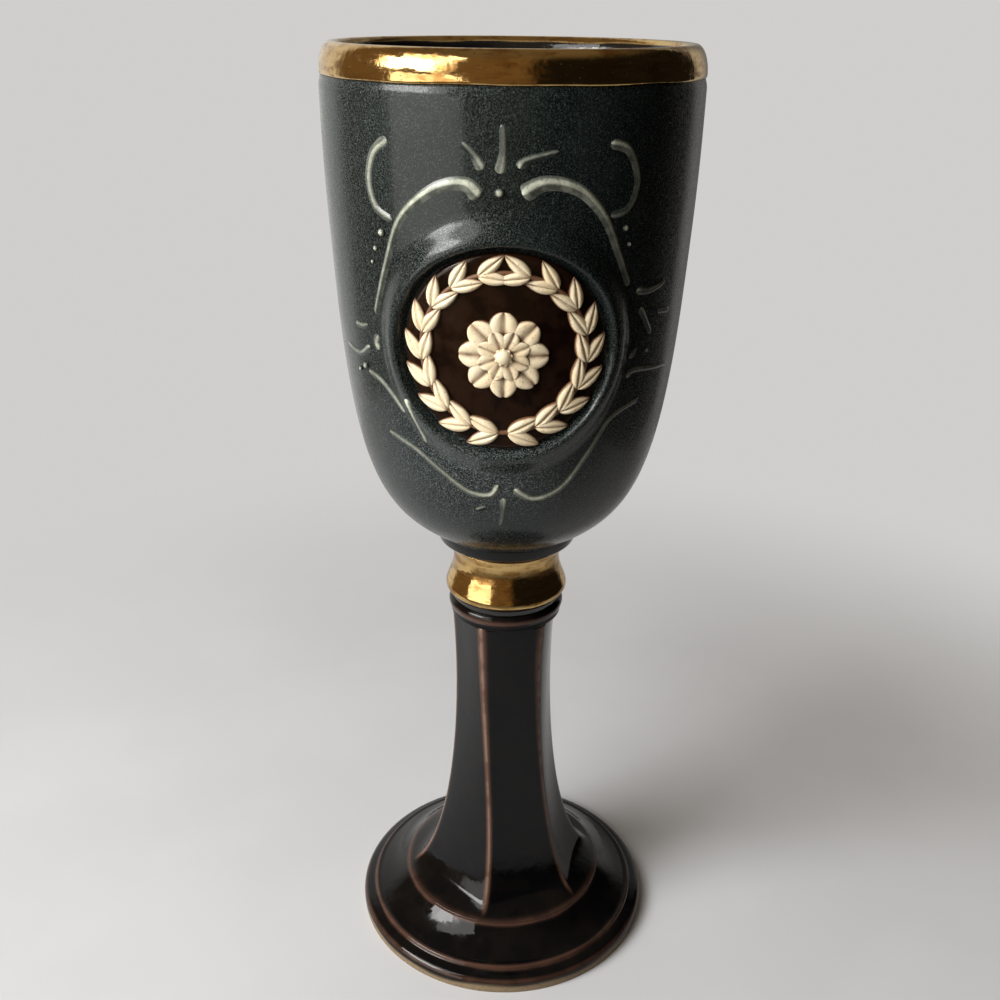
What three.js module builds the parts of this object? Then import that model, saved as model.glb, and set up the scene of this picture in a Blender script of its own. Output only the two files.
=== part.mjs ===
// A stoneware chalice: a hollow foot, a six-sided stem, a lustred collar and a deep cup with a lustred lip,
// a round clay sprig and trailed slip on its front.
// Millimetres, +Z up. The origin is the middle of the resting face, and the front looks along -Y.
import * as THREE from 'three';

// Fits between members that were thrown apart and luted together
const FIT = 0.3;
const SEAT_GAP = 0.3;

// Foot: a round dish turned over, with a turned ring near its edge and a ledge under the stem
const FOOT_RADIUS = 40.2;
const FOOT_HEIGHT = 11;
const FOOT_WALL = 5;
const EDGE_HEIGHT = 2.8;
const EDGE_ROUND = 1.1;
const REST_WIDTH = 6;
const RING_INSET = 3.6;
const RING_HEIGHT = 5.2;
const RING_STEP = 0.7;
const FLANGE_WIDTH = 12.9;
const LEDGE_WIDTH = 4.3;

// Stem: a flared tube with flats cut along it
const STEM_HEIGHT = 83;
const STEM_TOP_RADIUS = 13.5;
const STEM_WALL = 5;
const STEM_CAP = 8;
const SKIRT_DEPTH = 4;
const WAIST_RADIUS = 11.2;
const WAIST_RISE = 51;
const FLARE_RADIUS = 14.8;
const FLARE_RISE = 6.2;
const FLATS = 6;
const FIRST_RIDGE = 44;
const RUNOUT_RISE = 3.5;
const TENON_RADIUS = 7;

// Bead under the collar
const BEAD_HEIGHT = 4.2;
const BEAD_RADIUS = 14.7;
const BEAD_BELLY_DROP = 1.5;
const BEAD_NECK_RADIUS = 14.1;

// Lustred collar: a round knop under a drawn-in neck
const COLLAR_HEIGHT = 15.1;
const COLLAR_BASE_RADIUS = 14.1;
const COLLAR_RADIUS = 15.2;
const COLLAR_BELLY_RISE = 3.3;
const COLLAR_NECK_RADIUS = 13.3;
const COLLAR_NECK_DROP = 2.8;
const COLLAR_TOP_RADIUS = 13.6;

// Ring that the cup stands on: it stands out over the collar's neck
const CUP_RING_HEIGHT = 4.9;
const CUP_RING_EDGE_RADIUS = 17.3;
const CUP_RING_EDGE_RISE = 2;
const CUP_RING_RADIUS = 18.3;
const CUP_TENON_RADIUS = 9;
const CUP_TENON_HEIGHT = 2.6;

// Cup: its outline is one curve from the ring to the mouth, bent by two handles
const CUP_HEIGHT = 105.8;
const MOUTH_RADIUS = 40.9;
const CUP_WALL = 4.2;
const CUP_FLOOR = 5.6;
const FLOOR_ROUND = 1;
const BOWL_RADIUS = 31.7;
const BOWL_RISE = 9.3;
const BELLY_RADIUS = 40.2;
const BELLY_RISE = 13.5;

// Lustred lip: a roll that caps a thin tongue on the cup's edge
const LIP_PROUD_OUTSIDE = 0.45;
const LIP_PROUD_INSIDE = 0.95;
const LIP_MIDDLE = 2.4;
const LIP_CROWN = 3.6;
const LIP_TUCK = 0.5;
const TONGUE_WALL = 1.6;
const TONGUE_HEIGHT = 2.8;

// Sprig: a round pad on the wall, with a leaf wreath and a rosette in relief
const SPRIG_RADIUS = 20.75;
const SPRIG_RISE = 55.2;
const SPRIG_TURN = -1.5;
const PAD_THICKNESS = 0.8;
const PAD_ROUND = 0.6;
const WREATH_MARGIN = 0.2;
const WREATH_LEAVES = 18;
const LEAF_WIDTH = 6.2;
const LEAF_NECK = 3.6;
const WREATH_RISE = 1.1;
const ROSETTE_RADIUS = 9;
const ROSETTE_PETALS = 8;
const ROSETTE_NOTCH = 0.3;
const ROSETTE_RISE = 1.1;

// Rings of the rosette as [share of its radius, share of its rise], from its back over its edge to its eye
const ROSETTE_RINGS = [[0.5, 0], [1, 0], [0.92, 0.6], [0.6, 0.8], [0.3, 0.5]];

// Slip trails: rise is their height for each millimetre of width
const TRAIL_RISE = 0.4;
const TRAIL_END = 0.45;
const TRAIL_STEP = 3;
const DOT_SHOULDER = 0.7;

// Places of the trails as [across, up]: 1 is the sprig's edge, and 2 is the cup's side, its top or its ring.
// Widths are in millimetres, at the first and the last place.
const TRAILS = {
  slip_ear_left: {
    widths: [1.2, 1.5],
    places: [[-1.09, 1.65], [-1.19, 1.55], [-1.22, 1.38], [-1.17, 1.2], [-1.1, 1.16]],
  },
  slip_ear_right: {
    widths: [1.2, 1.6],
    places: [[0.94, 1.66], [1.08, 1.61], [1.15, 1.42], [1.1, 1.24], [1.03, 1.22]],
  },
  slip_scroll_left: {
    widths: [2.4, 1.2],
    places: [[-0.23, 1.34], [-0.37, 1.42], [-0.66, 1.37], [-1, 1.17], [-1.1, 0.81], [-1.21, 0.25]],
  },
  slip_scroll_right: {
    widths: [2.4, 1.2],
    places: [[0.17, 1.36], [0.37, 1.43], [0.66, 1.38], [0.92, 1.2], [1.05, 0.94], [1.13, 0.61]],
  },
  slip_flame_left: { widths: [1, 1.8], places: [[-0.38, 1.67], [-0.28, 1.6], [-0.2, 1.51]] },
  slip_flame_middle: { widths: [1, 1.8], places: [[-0.03, 1.78], [-0.02, 1.62], [-0.05, 1.49]] },
  slip_flame_right: { widths: [1.8, 1], places: [[0.12, 1.52], [0.18, 1.57], [0.46, 1.62]] },
  slip_twig_right: { widths: [1.4, 1], places: [[1.19, 0.54], [1.29, 0.51], [1.42, 0.56]] },
  slip_thorn_right: { widths: [1.4, 1], places: [[1.23, 0.35], [1.28, 0.21], [1.34, 0.05]] },
  slip_tick_right: { widths: [1.2, 1], places: [[1.38, 0.27], [1.51, 0.23]] },
  slip_tick_left: { widths: [1.2, 1], places: [[-1.41, 0.07], [-1.34, 0.07], [-1.29, 0.1]] },
  slip_curl_left: { widths: [1, 1.4], places: [[-1.57, -0.22], [-1.4, -0.25], [-1.29, -0.13]] },
  slip_leaf_left: { widths: [1.4, 1.6], places: [[-1.21, 0.03], [-1.23, -0.06], [-1.21, -0.13]] },
  slip_branch_left: {
    widths: [1.2, 1.4],
    places: [[-1.33, -0.51], [-1.23, -0.55], [-1.13, -0.71], [-1.07, -0.86]],
  },
  slip_spray_left: { widths: [2, 1.4], places: [[-1, -0.54], [-0.96, -0.7], [-0.88, -1.03]] },
  slip_sweep_left: {
    widths: [1.2, 1.6],
    places: [[-1.21, -1.02], [-1.03, -1.09], [-0.77, -1.2], [-0.42, -1.34], [-0.16, -1.36], [-0.05, -1.28]],
  },
  slip_sweep_right: {
    widths: [1.6, 1.2],
    places: [[0.13, -1.31], [0.38, -1.39], [0.71, -1.31], [0.97, -1.09], [1.11, -0.78], [1.31, -0.65]],
  },
  slip_tail: { widths: [1.6, 1], places: [[0.01, -1.38], [0, -1.47], [-0.04, -1.61]] },
  slip_tick_low: { widths: [1, 1.2], places: [[-0.34, -1.48], [-0.21, -1.45]] },
  slip_branch_right: {
    widths: [1.4, 1],
    places: [[1.19, -0.37], [1.23, -0.3], [1.4, -0.34], [1.6, -0.39]],
  },
  slip_leaf_right: { widths: [1.4, 1], places: [[1.19, -0.16], [1.24, -0.07]] },
};

// Slip dots: a place and a diameter
const DOTS = {
  slip_dot_top: { place: [-0.05, 1.37], diameter: 1.9 },
  slip_dot_left_1: { place: [-1.12, 1.06], diameter: 1.8 },
  slip_dot_left_2: { place: [-1.17, 0.92], diameter: 1.3 },
  slip_dot_left_3: { place: [-1.2, 0.78], diameter: 1 },
  slip_dot_right_1: { place: [1.08, 1.12], diameter: 1.4 },
  slip_dot_right_2: { place: [1.11, 1.01], diameter: 1 },
  slip_dot_low_1: { place: [-1.42, -0.43], diameter: 1.1 },
  slip_dot_low_2: { place: [-1.35, -0.36], diameter: 1.6 },
  slip_dot_low_3: { place: [1.32, -0.12], diameter: 1.1 },
};

// Smoothness of the round members
const WIDE_SEGMENTS = 48;
const NECK_SEGMENTS = 36;
const CUP_STEPS = 14;
const STEM_STEPS = 13;
const LIP_STEPS = 12;
const NECK_STEPS = 7;
const SECTION_STEPS = 4;
const LEAF_STEPS = 4;
const PETAL_STEPS = 6;
const DOT_SEGMENTS = 8;

// Heights of the seats, from the table up
const STEM_Z = FOOT_HEIGHT;
const BEAD_Z = STEM_Z + STEM_HEIGHT;
const COLLAR_Z = BEAD_Z + BEAD_HEIGHT;
const CUP_RING_Z = COLLAR_Z + COLLAR_HEIGHT;
const CUP_Z = CUP_RING_Z + CUP_RING_HEIGHT;
const LIP_Z = CUP_Z + CUP_HEIGHT;
const SPRIG_Z = CUP_Z + SPRIG_RISE;

// Clay, glaze and lustre colours
const tenmoku = () => new THREE.MeshStandardMaterial({ color: 0x17130f, roughness: 0.12, metalness: 0 });
const tealGlaze = () => new THREE.MeshStandardMaterial({ color: 0x2b3a3c, roughness: 0.22, metalness: 0 });
const goldLustre = () => new THREE.MeshStandardMaterial({ color: 0xc8922e, roughness: 0.12, metalness: 1 });
const brownGlaze = () => new THREE.MeshStandardMaterial({ color: 0x20100a, roughness: 0.15, metalness: 0 });
const creamClay = () => new THREE.MeshStandardMaterial({ color: 0xe3d6b8, roughness: 0.65, metalness: 0 });
const paleSlip = () => new THREE.MeshStandardMaterial({ color: 0x9aa8a0, roughness: 0.25, metalness: 0 });

const chalice = new THREE.Group();

function addPart(name, geometry, material) {
  geometry.computeVertexNormals();
  const mesh = new THREE.Mesh(geometry, material);
  mesh.name = name;
  chalice.add(mesh);
}

const at = (radius, height) => new THREE.Vector2(radius, height);

// A member turned on the wheel: its profile runs up the outside and back down the inside
function turned(profile, segments, startAngle = 0) {
  const lathe = new THREE.LatheGeometry(profile, segments, startAngle, 2 * Math.PI);
  return lathe.rotateX(Math.PI / 2);
}

// Foot
const restOuter = FOOT_RADIUS - EDGE_ROUND;
const restInner = restOuter - REST_WIDTH;
const ringRadius = FOOT_RADIUS - RING_INSET;
const ledgeRadius = FOOT_RADIUS - FLANGE_WIDTH;
const socketRadius = ledgeRadius - LEDGE_WIDTH;
const footRoof = FOOT_HEIGHT - FOOT_WALL;
const footProfile = [
  at(restInner, 0),
  at(restOuter, 0),
  at(FOOT_RADIUS, EDGE_ROUND),
  at(FOOT_RADIUS, EDGE_HEIGHT),
  at(FOOT_RADIUS - EDGE_ROUND, EDGE_HEIGHT + EDGE_ROUND),
  at(ringRadius + RING_STEP, RING_HEIGHT - RING_STEP / 2),
  at(ringRadius, RING_HEIGHT),
  at(ringRadius - RING_STEP, RING_HEIGHT + RING_STEP / 2),
  at(ledgeRadius, FOOT_HEIGHT),
  at(socketRadius, FOOT_HEIGHT),
  at(socketRadius, footRoof),
  at(ledgeRadius, footRoof),
  at(restInner, 0),
];
addPart('foot', turned(footProfile, WIDE_SEGMENTS), tenmoku());

// Stem: the outline is that of the ridges, and the flats are cut in from it
const stemOutline = new THREE.CubicBezierCurve(
  at(ledgeRadius, STEM_Z),
  at(FLARE_RADIUS, STEM_Z + FLARE_RISE),
  at(WAIST_RADIUS, STEM_Z + WAIST_RISE),
  at(STEM_TOP_RADIUS, BEAD_Z),
).getPoints(STEM_STEPS);
const flatHalf = Math.PI / FLATS;
const flatDepth = Math.cos(flatHalf);
const boreTop = BEAD_Z - STEM_CAP;
const boreUp = stemOutline.map((p) => at(p.x * flatDepth - STEM_WALL, p.y)).filter((p) => p.y < boreTop);
const boreDown = boreUp.toReversed();
const skirtOuter = socketRadius - FIT;
const skirtZ = STEM_Z - SKIRT_DEPTH;
const tenonTop = CUP_RING_Z - FIT;
const stemProfile = [
  at(0, boreTop),
  at(boreDown[0].x, boreTop),
  ...boreDown,
  at(boreUp[0].x, skirtZ),
  at(skirtOuter, skirtZ),
  at(skirtOuter, STEM_Z),
  ...stemOutline,
  at(TENON_RADIUS, BEAD_Z),
  at(TENON_RADIUS, tenonTop),
  at(0, tenonTop),
];

// Pulls the round outside of the stem in to its flats, which run out to a round edge on the ledge
const firstRidge = THREE.MathUtils.degToRad(FIRST_RIDGE);
function cutFlats(geometry) {
  const position = geometry.getAttribute('position');
  const firstOutside = stemProfile.indexOf(stemOutline[0]);
  const lastOutside = firstOutside + stemOutline.length - 1;
  for (let i = 0; i < position.count; i += 1) {
    const step = i % stemProfile.length;
    if (step >= firstOutside && step <= lastOutside) {
      const turn = Math.atan2(position.getX(i), -position.getY(i)) - firstRidge;
      const offMiddle = THREE.MathUtils.euclideanModulo(turn, 2 * flatHalf) - flatHalf;
      const depth = THREE.MathUtils.smoothstep(position.getZ(i) - STEM_Z, 0, RUNOUT_RISE);
      const share = THREE.MathUtils.lerp(1, flatDepth / Math.cos(offMiddle), depth);
      position.setX(i, position.getX(i) * share);
      position.setY(i, position.getY(i) * share);
    }
  }
  return geometry;
}
addPart('stem', cutFlats(turned(stemProfile, WIDE_SEGMENTS, firstRidge)), tenmoku());

// Bead
const boreRadius = TENON_RADIUS + FIT;
const beadCurve = new THREE.SplineCurve([
  at(STEM_TOP_RADIUS, BEAD_Z),
  at(BEAD_RADIUS, COLLAR_Z - BEAD_BELLY_DROP),
  at(BEAD_NECK_RADIUS, COLLAR_Z),
]).getPoints(NECK_STEPS);
const ringOnTenon = (curve, bottom, top) => [
  at(boreRadius, bottom),
  ...curve,
  at(boreRadius, top),
  at(boreRadius, bottom),
];
addPart('stem_bead', turned(ringOnTenon(beadCurve, BEAD_Z, COLLAR_Z), NECK_SEGMENTS), tenmoku());

// Collar
const collarCurve = new THREE.SplineCurve([
  at(COLLAR_BASE_RADIUS, COLLAR_Z),
  at(COLLAR_RADIUS, COLLAR_Z + COLLAR_BELLY_RISE),
  at(COLLAR_NECK_RADIUS, CUP_RING_Z - COLLAR_NECK_DROP),
  at(COLLAR_TOP_RADIUS, CUP_RING_Z),
]).getPoints(NECK_STEPS);
addPart('gold_collar', turned(ringOnTenon(collarCurve, COLLAR_Z, CUP_RING_Z), NECK_SEGMENTS), goldLustre());

// Cup ring: a sharp-edged ring with a tenon for the cup
const cupTenonTop = CUP_Z + CUP_TENON_HEIGHT;
const cupRingProfile = [
  at(0, CUP_RING_Z),
  at(COLLAR_TOP_RADIUS, CUP_RING_Z),
  at(CUP_RING_EDGE_RADIUS, CUP_RING_Z + CUP_RING_EDGE_RISE),
  at(CUP_RING_RADIUS, CUP_Z),
  at(CUP_TENON_RADIUS, CUP_Z),
  at(CUP_TENON_RADIUS, cupTenonTop),
  at(0, cupTenonTop),
];
addPart('cup_foot_ring', turned(cupRingProfile, NECK_SEGMENTS), tenmoku());

// Cup
const cupCurve = new THREE.CubicBezierCurve(
  at(CUP_RING_RADIUS, CUP_Z),
  at(BOWL_RADIUS, CUP_Z + BOWL_RISE),
  at(BELLY_RADIUS, CUP_Z + BELLY_RISE),
  at(MOUTH_RADIUS, LIP_Z),
);
const cupOutline = cupCurve.getPoints(CUP_STEPS);
const floorZ = CUP_Z + CUP_FLOOR;
const mouthInner = MOUTH_RADIUS - CUP_WALL;
const cupInside = [];
for (let i = CUP_STEPS - 1; i > 0; i -= 1) {
  const along = cupCurve.getTangent(i / CUP_STEPS);
  const inside = at(cupOutline[i].x - CUP_WALL * along.y, cupOutline[i].y + CUP_WALL * along.x);
  if (inside.y > floorZ + FLOOR_ROUND) {
    cupInside.push(inside);
  }
}
const floorEdge = at(cupInside[cupInside.length - 1].x - FLOOR_ROUND, floorZ);
const tongueInner = MOUTH_RADIUS - (CUP_WALL + TONGUE_WALL) / 2;
const tongueOuter = tongueInner + TONGUE_WALL;
const tongueTop = LIP_Z + TONGUE_HEIGHT;
const cupProfile = [
  at(0, cupTenonTop + FIT),
  at(CUP_TENON_RADIUS + FIT, cupTenonTop + FIT),
  at(CUP_TENON_RADIUS + FIT, CUP_Z),
  ...cupOutline,
  at(tongueOuter, LIP_Z),
  at(tongueOuter, tongueTop),
  at(tongueInner, tongueTop),
  at(tongueInner, LIP_Z),
  at(mouthInner, LIP_Z),
  ...cupInside,
  floorEdge,
  at(0, floorZ),
];
addPart('cup', turned(cupProfile, WIDE_SEGMENTS), tealGlaze());

// Lip: an oval roll, tucked in below its middle and open there over the cup's tongue
const lipOuter = MOUTH_RADIUS + LIP_PROUD_OUTSIDE;
const lipInner = mouthInner - LIP_PROUD_INSIDE;
const lipCentre = (lipOuter + lipInner) / 2;
const lipHalf = (lipOuter - lipInner) / 2;
const lipRoll = new THREE.EllipseCurve(lipCentre, LIP_Z + LIP_MIDDLE, lipHalf, LIP_CROWN, 0, Math.PI);
const lipOuterFoot = at(lipOuter - LIP_TUCK, LIP_Z);
const lipProfile = [
  lipOuterFoot,
  ...lipRoll.getPoints(LIP_STEPS),
  at(lipInner + LIP_TUCK, LIP_Z),
  at(tongueInner - FIT, LIP_Z),
  at(tongueInner - FIT, tongueTop + FIT),
  at(tongueOuter + FIT, tongueTop + FIT),
  at(tongueOuter + FIT, LIP_Z),
  lipOuterFoot,
];
addPart('gold_rim_band', turned(lipProfile, WIDE_SEGMENTS), goldLustre());

// Radius of the cup's outside at a height
function wallRadius(z) {
  const above = cupOutline.findIndex((p) => p.y >= z);
  const upper = cupOutline[Math.max(above, 1)];
  const lower = cupOutline[Math.max(above, 1) - 1];
  return THREE.MathUtils.mapLinear(z, lower.y, upper.y, lower.x, upper.x);
}

// A point off the wall: across is measured round the wall at the sprig, from the sprig's middle line
const sprigWall = wallRadius(SPRIG_Z);
function onWall(across, z, lift) {
  const angle = THREE.MathUtils.degToRad(SPRIG_TURN) + across / sprigWall;
  const radius = wallRadius(z) + lift;
  return new THREE.Vector3(radius * Math.sin(angle), -radius * Math.cos(angle), z);
}

// A closed skin over a row of loops of as many points each: the row ends on two poles, or joins its own start
function skin(loops, poles) {
  const size = loops[0].length;
  const points = loops.flat();
  const faces = [];
  const rows = poles ? loops.length - 1 : loops.length;
  for (let row = 0; row < rows; row += 1) {
    const here = row * size;
    const next = ((row + 1) % loops.length) * size;
    for (let i = 0; i < size; i += 1) {
      const j = (i + 1) % size;
      faces.push([here + i, here + j, next + j], [here + i, next + j, next + i]);
    }
  }
  if (poles) {
    const last = (loops.length - 1) * size;
    const start = points.push(poles[0]) - 1;
    const end = points.push(poles[1]) - 1;
    for (let i = 0; i < size; i += 1) {
      const j = (i + 1) % size;
      faces.push([start, j, i], [end, last + i, last + j]);
    }
  }
  const volume = faces.reduce((sum, [a, b, c]) => sum + points[a].dot(points[b].clone().cross(points[c])), 0);
  const outward = volume > 0 ? faces : faces.map(([a, b, c]) => [a, c, b]);
  const geometry = new THREE.BufferGeometry().setFromPoints(points);
  return geometry.setIndex(outward.flat());
}

// A half-round loop across a trail, at a place [across, z] and in the trail's direction there
function trailLoop(place, direction, width, base, rise) {
  const loop = [];
  for (let i = 0; i <= SECTION_STEPS; i += 1) {
    const turn = (Math.PI * i) / SECTION_STEPS;
    const side = (width / 2) * Math.cos(turn);
    const across = place.x - side * direction.y;
    const z = place.y + side * direction.x;
    loop.push(onWall(across, z, base + rise * Math.sin(turn)));
  }
  return loop;
}

// A loop round the sprig's middle, with its reach at each turn
function sprigLoop(reachAt, lift, segments) {
  const loop = [];
  for (let i = 0; i < segments; i += 1) {
    const turn = (2 * Math.PI * i) / segments;
    const reach = reachAt(turn);
    loop.push(onWall(reach * Math.sin(turn), SPRIG_Z + reach * Math.cos(turn), lift));
  }
  return loop;
}

// Sprig pad: loops from the middle of its back, over its rounded edge, to the middle of its face
const padTop = SEAT_GAP + PAD_THICKNESS;
const padFace = SPRIG_RADIUS - PAD_ROUND;
const padLoop = (reach, lift) => sprigLoop(() => reach, lift, NECK_SEGMENTS);
const padLoops = [
  padLoop(SPRIG_RADIUS / 3, SEAT_GAP),
  padLoop((2 * SPRIG_RADIUS) / 3, SEAT_GAP),
  padLoop(SPRIG_RADIUS, SEAT_GAP),
  padLoop(SPRIG_RADIUS, SEAT_GAP + PAD_THICKNESS / 2),
  padLoop(padFace, padTop),
  padLoop((2 * padFace) / 3, padTop),
  padLoop(padFace / 3, padTop),
];
addPart('sprig_pad', skin(padLoops, [onWall(0, SPRIG_Z, SEAT_GAP), onWall(0, SPRIG_Z, padTop)]), brownGlaze());

// Sprig wreath: a ring that swells into a row of leaves
const reliefBase = padTop + SEAT_GAP;
const wreathRadius = padFace - WREATH_MARGIN - LEAF_WIDTH / 2;
const wreathSteps = WREATH_LEAVES * LEAF_STEPS;
const wreathLoops = [];
for (let i = 0; i < wreathSteps; i += 1) {
  const turn = (2 * Math.PI * i) / wreathSteps;
  const swell = Math.sin((Math.PI * (i % LEAF_STEPS)) / LEAF_STEPS);
  const width = THREE.MathUtils.lerp(LEAF_NECK, LEAF_WIDTH, swell);
  const place = at(wreathRadius * Math.sin(turn), SPRIG_Z + wreathRadius * Math.cos(turn));
  const direction = at(Math.cos(turn), -Math.sin(turn));
  wreathLoops.push(trailLoop(place, direction, width, reliefBase, WREATH_RISE));
}
addPart('sprig_wreath', skin(wreathLoops), creamClay());

// Sprig rosette: round petals with notches between them, round a raised eye
function petalShape(turn) {
  const fullness = Math.sqrt(Math.abs(Math.cos((ROSETTE_PETALS * turn) / 2)));
  return 1 - ROSETTE_NOTCH * (1 - fullness);
}
const rosetteLoops = ROSETTE_RINGS.map(([reach, rise]) => sprigLoop(
  (turn) => reach * ROSETTE_RADIUS * petalShape(turn),
  reliefBase + rise * ROSETTE_RISE,
  ROSETTE_PETALS * PETAL_STEPS,
));
const rosettePoles = [onWall(0, SPRIG_Z, reliefBase), onWall(0, SPRIG_Z, reliefBase + ROSETTE_RISE)];
addPart('sprig_rosette', skin(rosetteLoops, rosettePoles), creamClay());

// Turns a place on the cup's front into millimetres across the wall and a height
function reachOut(share, room) {
  const inner = Math.min(Math.abs(share), 1);
  const beyond = Math.abs(share) - inner;
  return Math.sign(share) * (inner * SPRIG_RADIUS + beyond * (room - SPRIG_RADIUS));
}
const roomAside = (Math.PI / 2) * sprigWall;
function frontPlace([across, up]) {
  const roomUp = up > 0 ? LIP_Z - SPRIG_Z : SPRIG_Z - CUP_Z;
  return at(reachOut(across, roomAside), SPRIG_Z + reachOut(up, roomUp));
}

// Slip trails: half-round beads along a smooth line, drawn thinner at both ends
for (const [name, { widths, places }] of Object.entries(TRAILS)) {
  const line = new THREE.SplineCurve(places.map(frontPlace));
  const steps = Math.max(SECTION_STEPS, Math.round(line.getLength() / TRAIL_STEP));
  const loops = [];
  const middles = [];
  for (let i = 0; i <= steps; i += 1) {
    const share = i / steps;
    const thinning = i === 0 || i === steps ? TRAIL_END : 1;
    const width = thinning * THREE.MathUtils.lerp(widths[0], widths[1], share);
    const place = line.getPointAt(share);
    loops.push(trailLoop(place, line.getTangentAt(share), width, SEAT_GAP, width * TRAIL_RISE));
    middles.push(onWall(place.x, place.y, SEAT_GAP + (width * TRAIL_RISE) / 2));
  }
  addPart(name, skin(loops, [middles[0], middles[steps]]), paleSlip());
}

// Slip dots: low domes
for (const [name, { place, diameter }] of Object.entries(DOTS)) {
  const middle = frontPlace(place);
  const rise = diameter * TRAIL_RISE;
  const loops = [1, DOT_SHOULDER].map((share) => {
    const reach = (share * diameter) / 2;
    const lift = SEAT_GAP + rise * Math.sqrt(1 - share * share);
    const loop = [];
    for (let i = 0; i < DOT_SEGMENTS; i += 1) {
      const turn = (2 * Math.PI * i) / DOT_SEGMENTS;
      loop.push(onWall(middle.x + reach * Math.cos(turn), middle.y + reach * Math.sin(turn), lift));
    }
    return loop;
  });
  const poles = [onWall(middle.x, middle.y, SEAT_GAP), onWall(middle.x, middle.y, SEAT_GAP + rise)];
  addPart(name, skin(loops, poles), paleSlip());
}

export default chalice;
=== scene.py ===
import math

import bmesh
import bpy
import numpy as np
from mathutils import Matrix, Vector


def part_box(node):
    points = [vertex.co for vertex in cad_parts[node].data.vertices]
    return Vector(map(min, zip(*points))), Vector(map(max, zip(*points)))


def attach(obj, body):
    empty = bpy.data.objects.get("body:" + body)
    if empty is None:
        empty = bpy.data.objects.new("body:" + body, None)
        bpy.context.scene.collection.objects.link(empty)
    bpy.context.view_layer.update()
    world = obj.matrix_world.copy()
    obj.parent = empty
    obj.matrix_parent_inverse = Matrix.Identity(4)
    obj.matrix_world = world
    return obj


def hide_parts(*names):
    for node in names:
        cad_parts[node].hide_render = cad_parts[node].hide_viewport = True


# A stoneware chalice with a lustred lip and collar, a clay sprig and trailed slip.
# Sizes are in millimetres until a mesh is made; the front looks along -Y.
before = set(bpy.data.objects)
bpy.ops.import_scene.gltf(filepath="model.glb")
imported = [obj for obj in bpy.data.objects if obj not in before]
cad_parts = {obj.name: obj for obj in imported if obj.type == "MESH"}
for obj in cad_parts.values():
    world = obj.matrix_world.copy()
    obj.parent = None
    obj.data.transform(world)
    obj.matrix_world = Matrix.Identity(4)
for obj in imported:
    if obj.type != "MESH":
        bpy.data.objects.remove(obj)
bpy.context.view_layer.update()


# Foot
# The round foot, thrown as a shallow dish of dark stoneware and turned over to stand on its rim.
# A turned ring runs near its edge and a ledge carries the stem; the black glaze breaks to rust on
# both, and stops short of the bare clay that rests on the table.
MM = 0.001
BEND_SHARES = [i / 6 for i in range(7)]


def box_mm(name):
    """A node's lowest and highest corner, in millimetres."""
    low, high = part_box(name)
    return low / MM, high / MM


def rounded(corners, step=0.5):
    """Points along a closed outline of (radius, height, reach) corners, each rounded over its reach."""
    places = [Vector(corner[:2]) for corner in corners]
    bends = []
    for i, corner in enumerate(corners):
        here = places[i]
        start = here + (places[i - 1] - here).normalized() * corner[2]
        end = here + (places[(i + 1) % len(places)] - here).normalized() * corner[2]
        bends.append([start.lerp(here, t).lerp(here.lerp(end, t), t) for t in BEND_SHARES])
    points = []
    for bend, following in zip(bends, bends[1:] + bends[:1]):
        points += bend
        run = following[0] - bend[-1]
        cuts = int(run.length / step)
        points += [bend[-1] + run * (cut / (cuts + 1)) for cut in range(1, cuts + 1)]
    return points


def set_up(name, data):
    """A new object in the scene."""
    made = bpy.data.objects.new(name, data)
    bpy.context.scene.collection.objects.link(made)
    return made


def skin(name, points, faces):
    """A smooth closed piece from points in millimetres, with its faces turned outwards."""
    mesh = bpy.data.meshes.new(name)
    mesh.from_pydata((np.asarray(points) * MM).tolist(), [], faces)
    work = bmesh.new()
    work.from_mesh(mesh)
    if work.calc_volume(signed=True) < 0:
        bmesh.ops.reverse_faces(work, faces=work.faces)
    work.to_mesh(mesh)
    work.free()
    mesh.shade_smooth()
    return set_up(name, mesh)


def lofted(name, loops, poles):
    """A closed piece over loops of as many points each, joined last to first or closed on two poles."""
    count = len(loops)
    size = len(loops[0])
    points = [point for loop in loops for point in loop] + poles
    faces = []
    for row in range(count - 1 if poles else count):
        here = row * size
        above = (row + 1) % count * size
        for i in range(size):
            j = (i + 1) % size
            faces.append((here + i, here + j, above + j, above + i))
    if poles:
        last = (count - 1) * size
        for i in range(size):
            j = (i + 1) % size
            faces.append((len(points) - 2, j, i))
            faces.append((len(points) - 1, last + i, last + j))
    return skin(name, points, faces)


def turned(name, outline, angles):
    """A member turned on the wheel from (radius, height) points, closed or with both ends on the axis."""
    on_axis = outline[0][0] == 0
    rows = outline[1:-1] if on_axis else outline
    loops = [[(r * math.sin(a), -r * math.cos(a), z) for a in angles] for r, z in rows]
    poles = [(0, 0, outline[0][1]), (0, 0, outline[-1][1])] if on_axis else []
    return lofted(name, loops, poles)


def evenly(count):
    """Angles of equal steps round the axis, from the front."""
    return np.linspace(0, 2 * math.pi, count, endpoint=False)


def coordinates(piece):
    """A piece's points in millimetres."""
    flat = np.empty(len(piece.data.vertices) * 3)
    piece.data.vertices.foreach_get("co", flat)
    return flat.reshape(-1, 3) / MM


def round_axis(points):
    """Each point's angle from the front and its reach from the axis."""
    return np.arctan2(points[:, 0], -points[:, 1]), np.hypot(points[:, 0], points[:, 1])


def mark(piece, name, values):
    """Keeps one number for each point of a piece, for its material to read."""
    attribute = piece.data.attributes.new(name, "FLOAT", "POINT")
    attribute.data.foreach_set("value", np.asarray(values, dtype=np.float32))


def hump(distance, reach):
    """A soft hump: 1 where the distance is 0, fading over a reach."""
    return np.exp(-(np.asarray(distance) / reach) ** 2)


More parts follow.
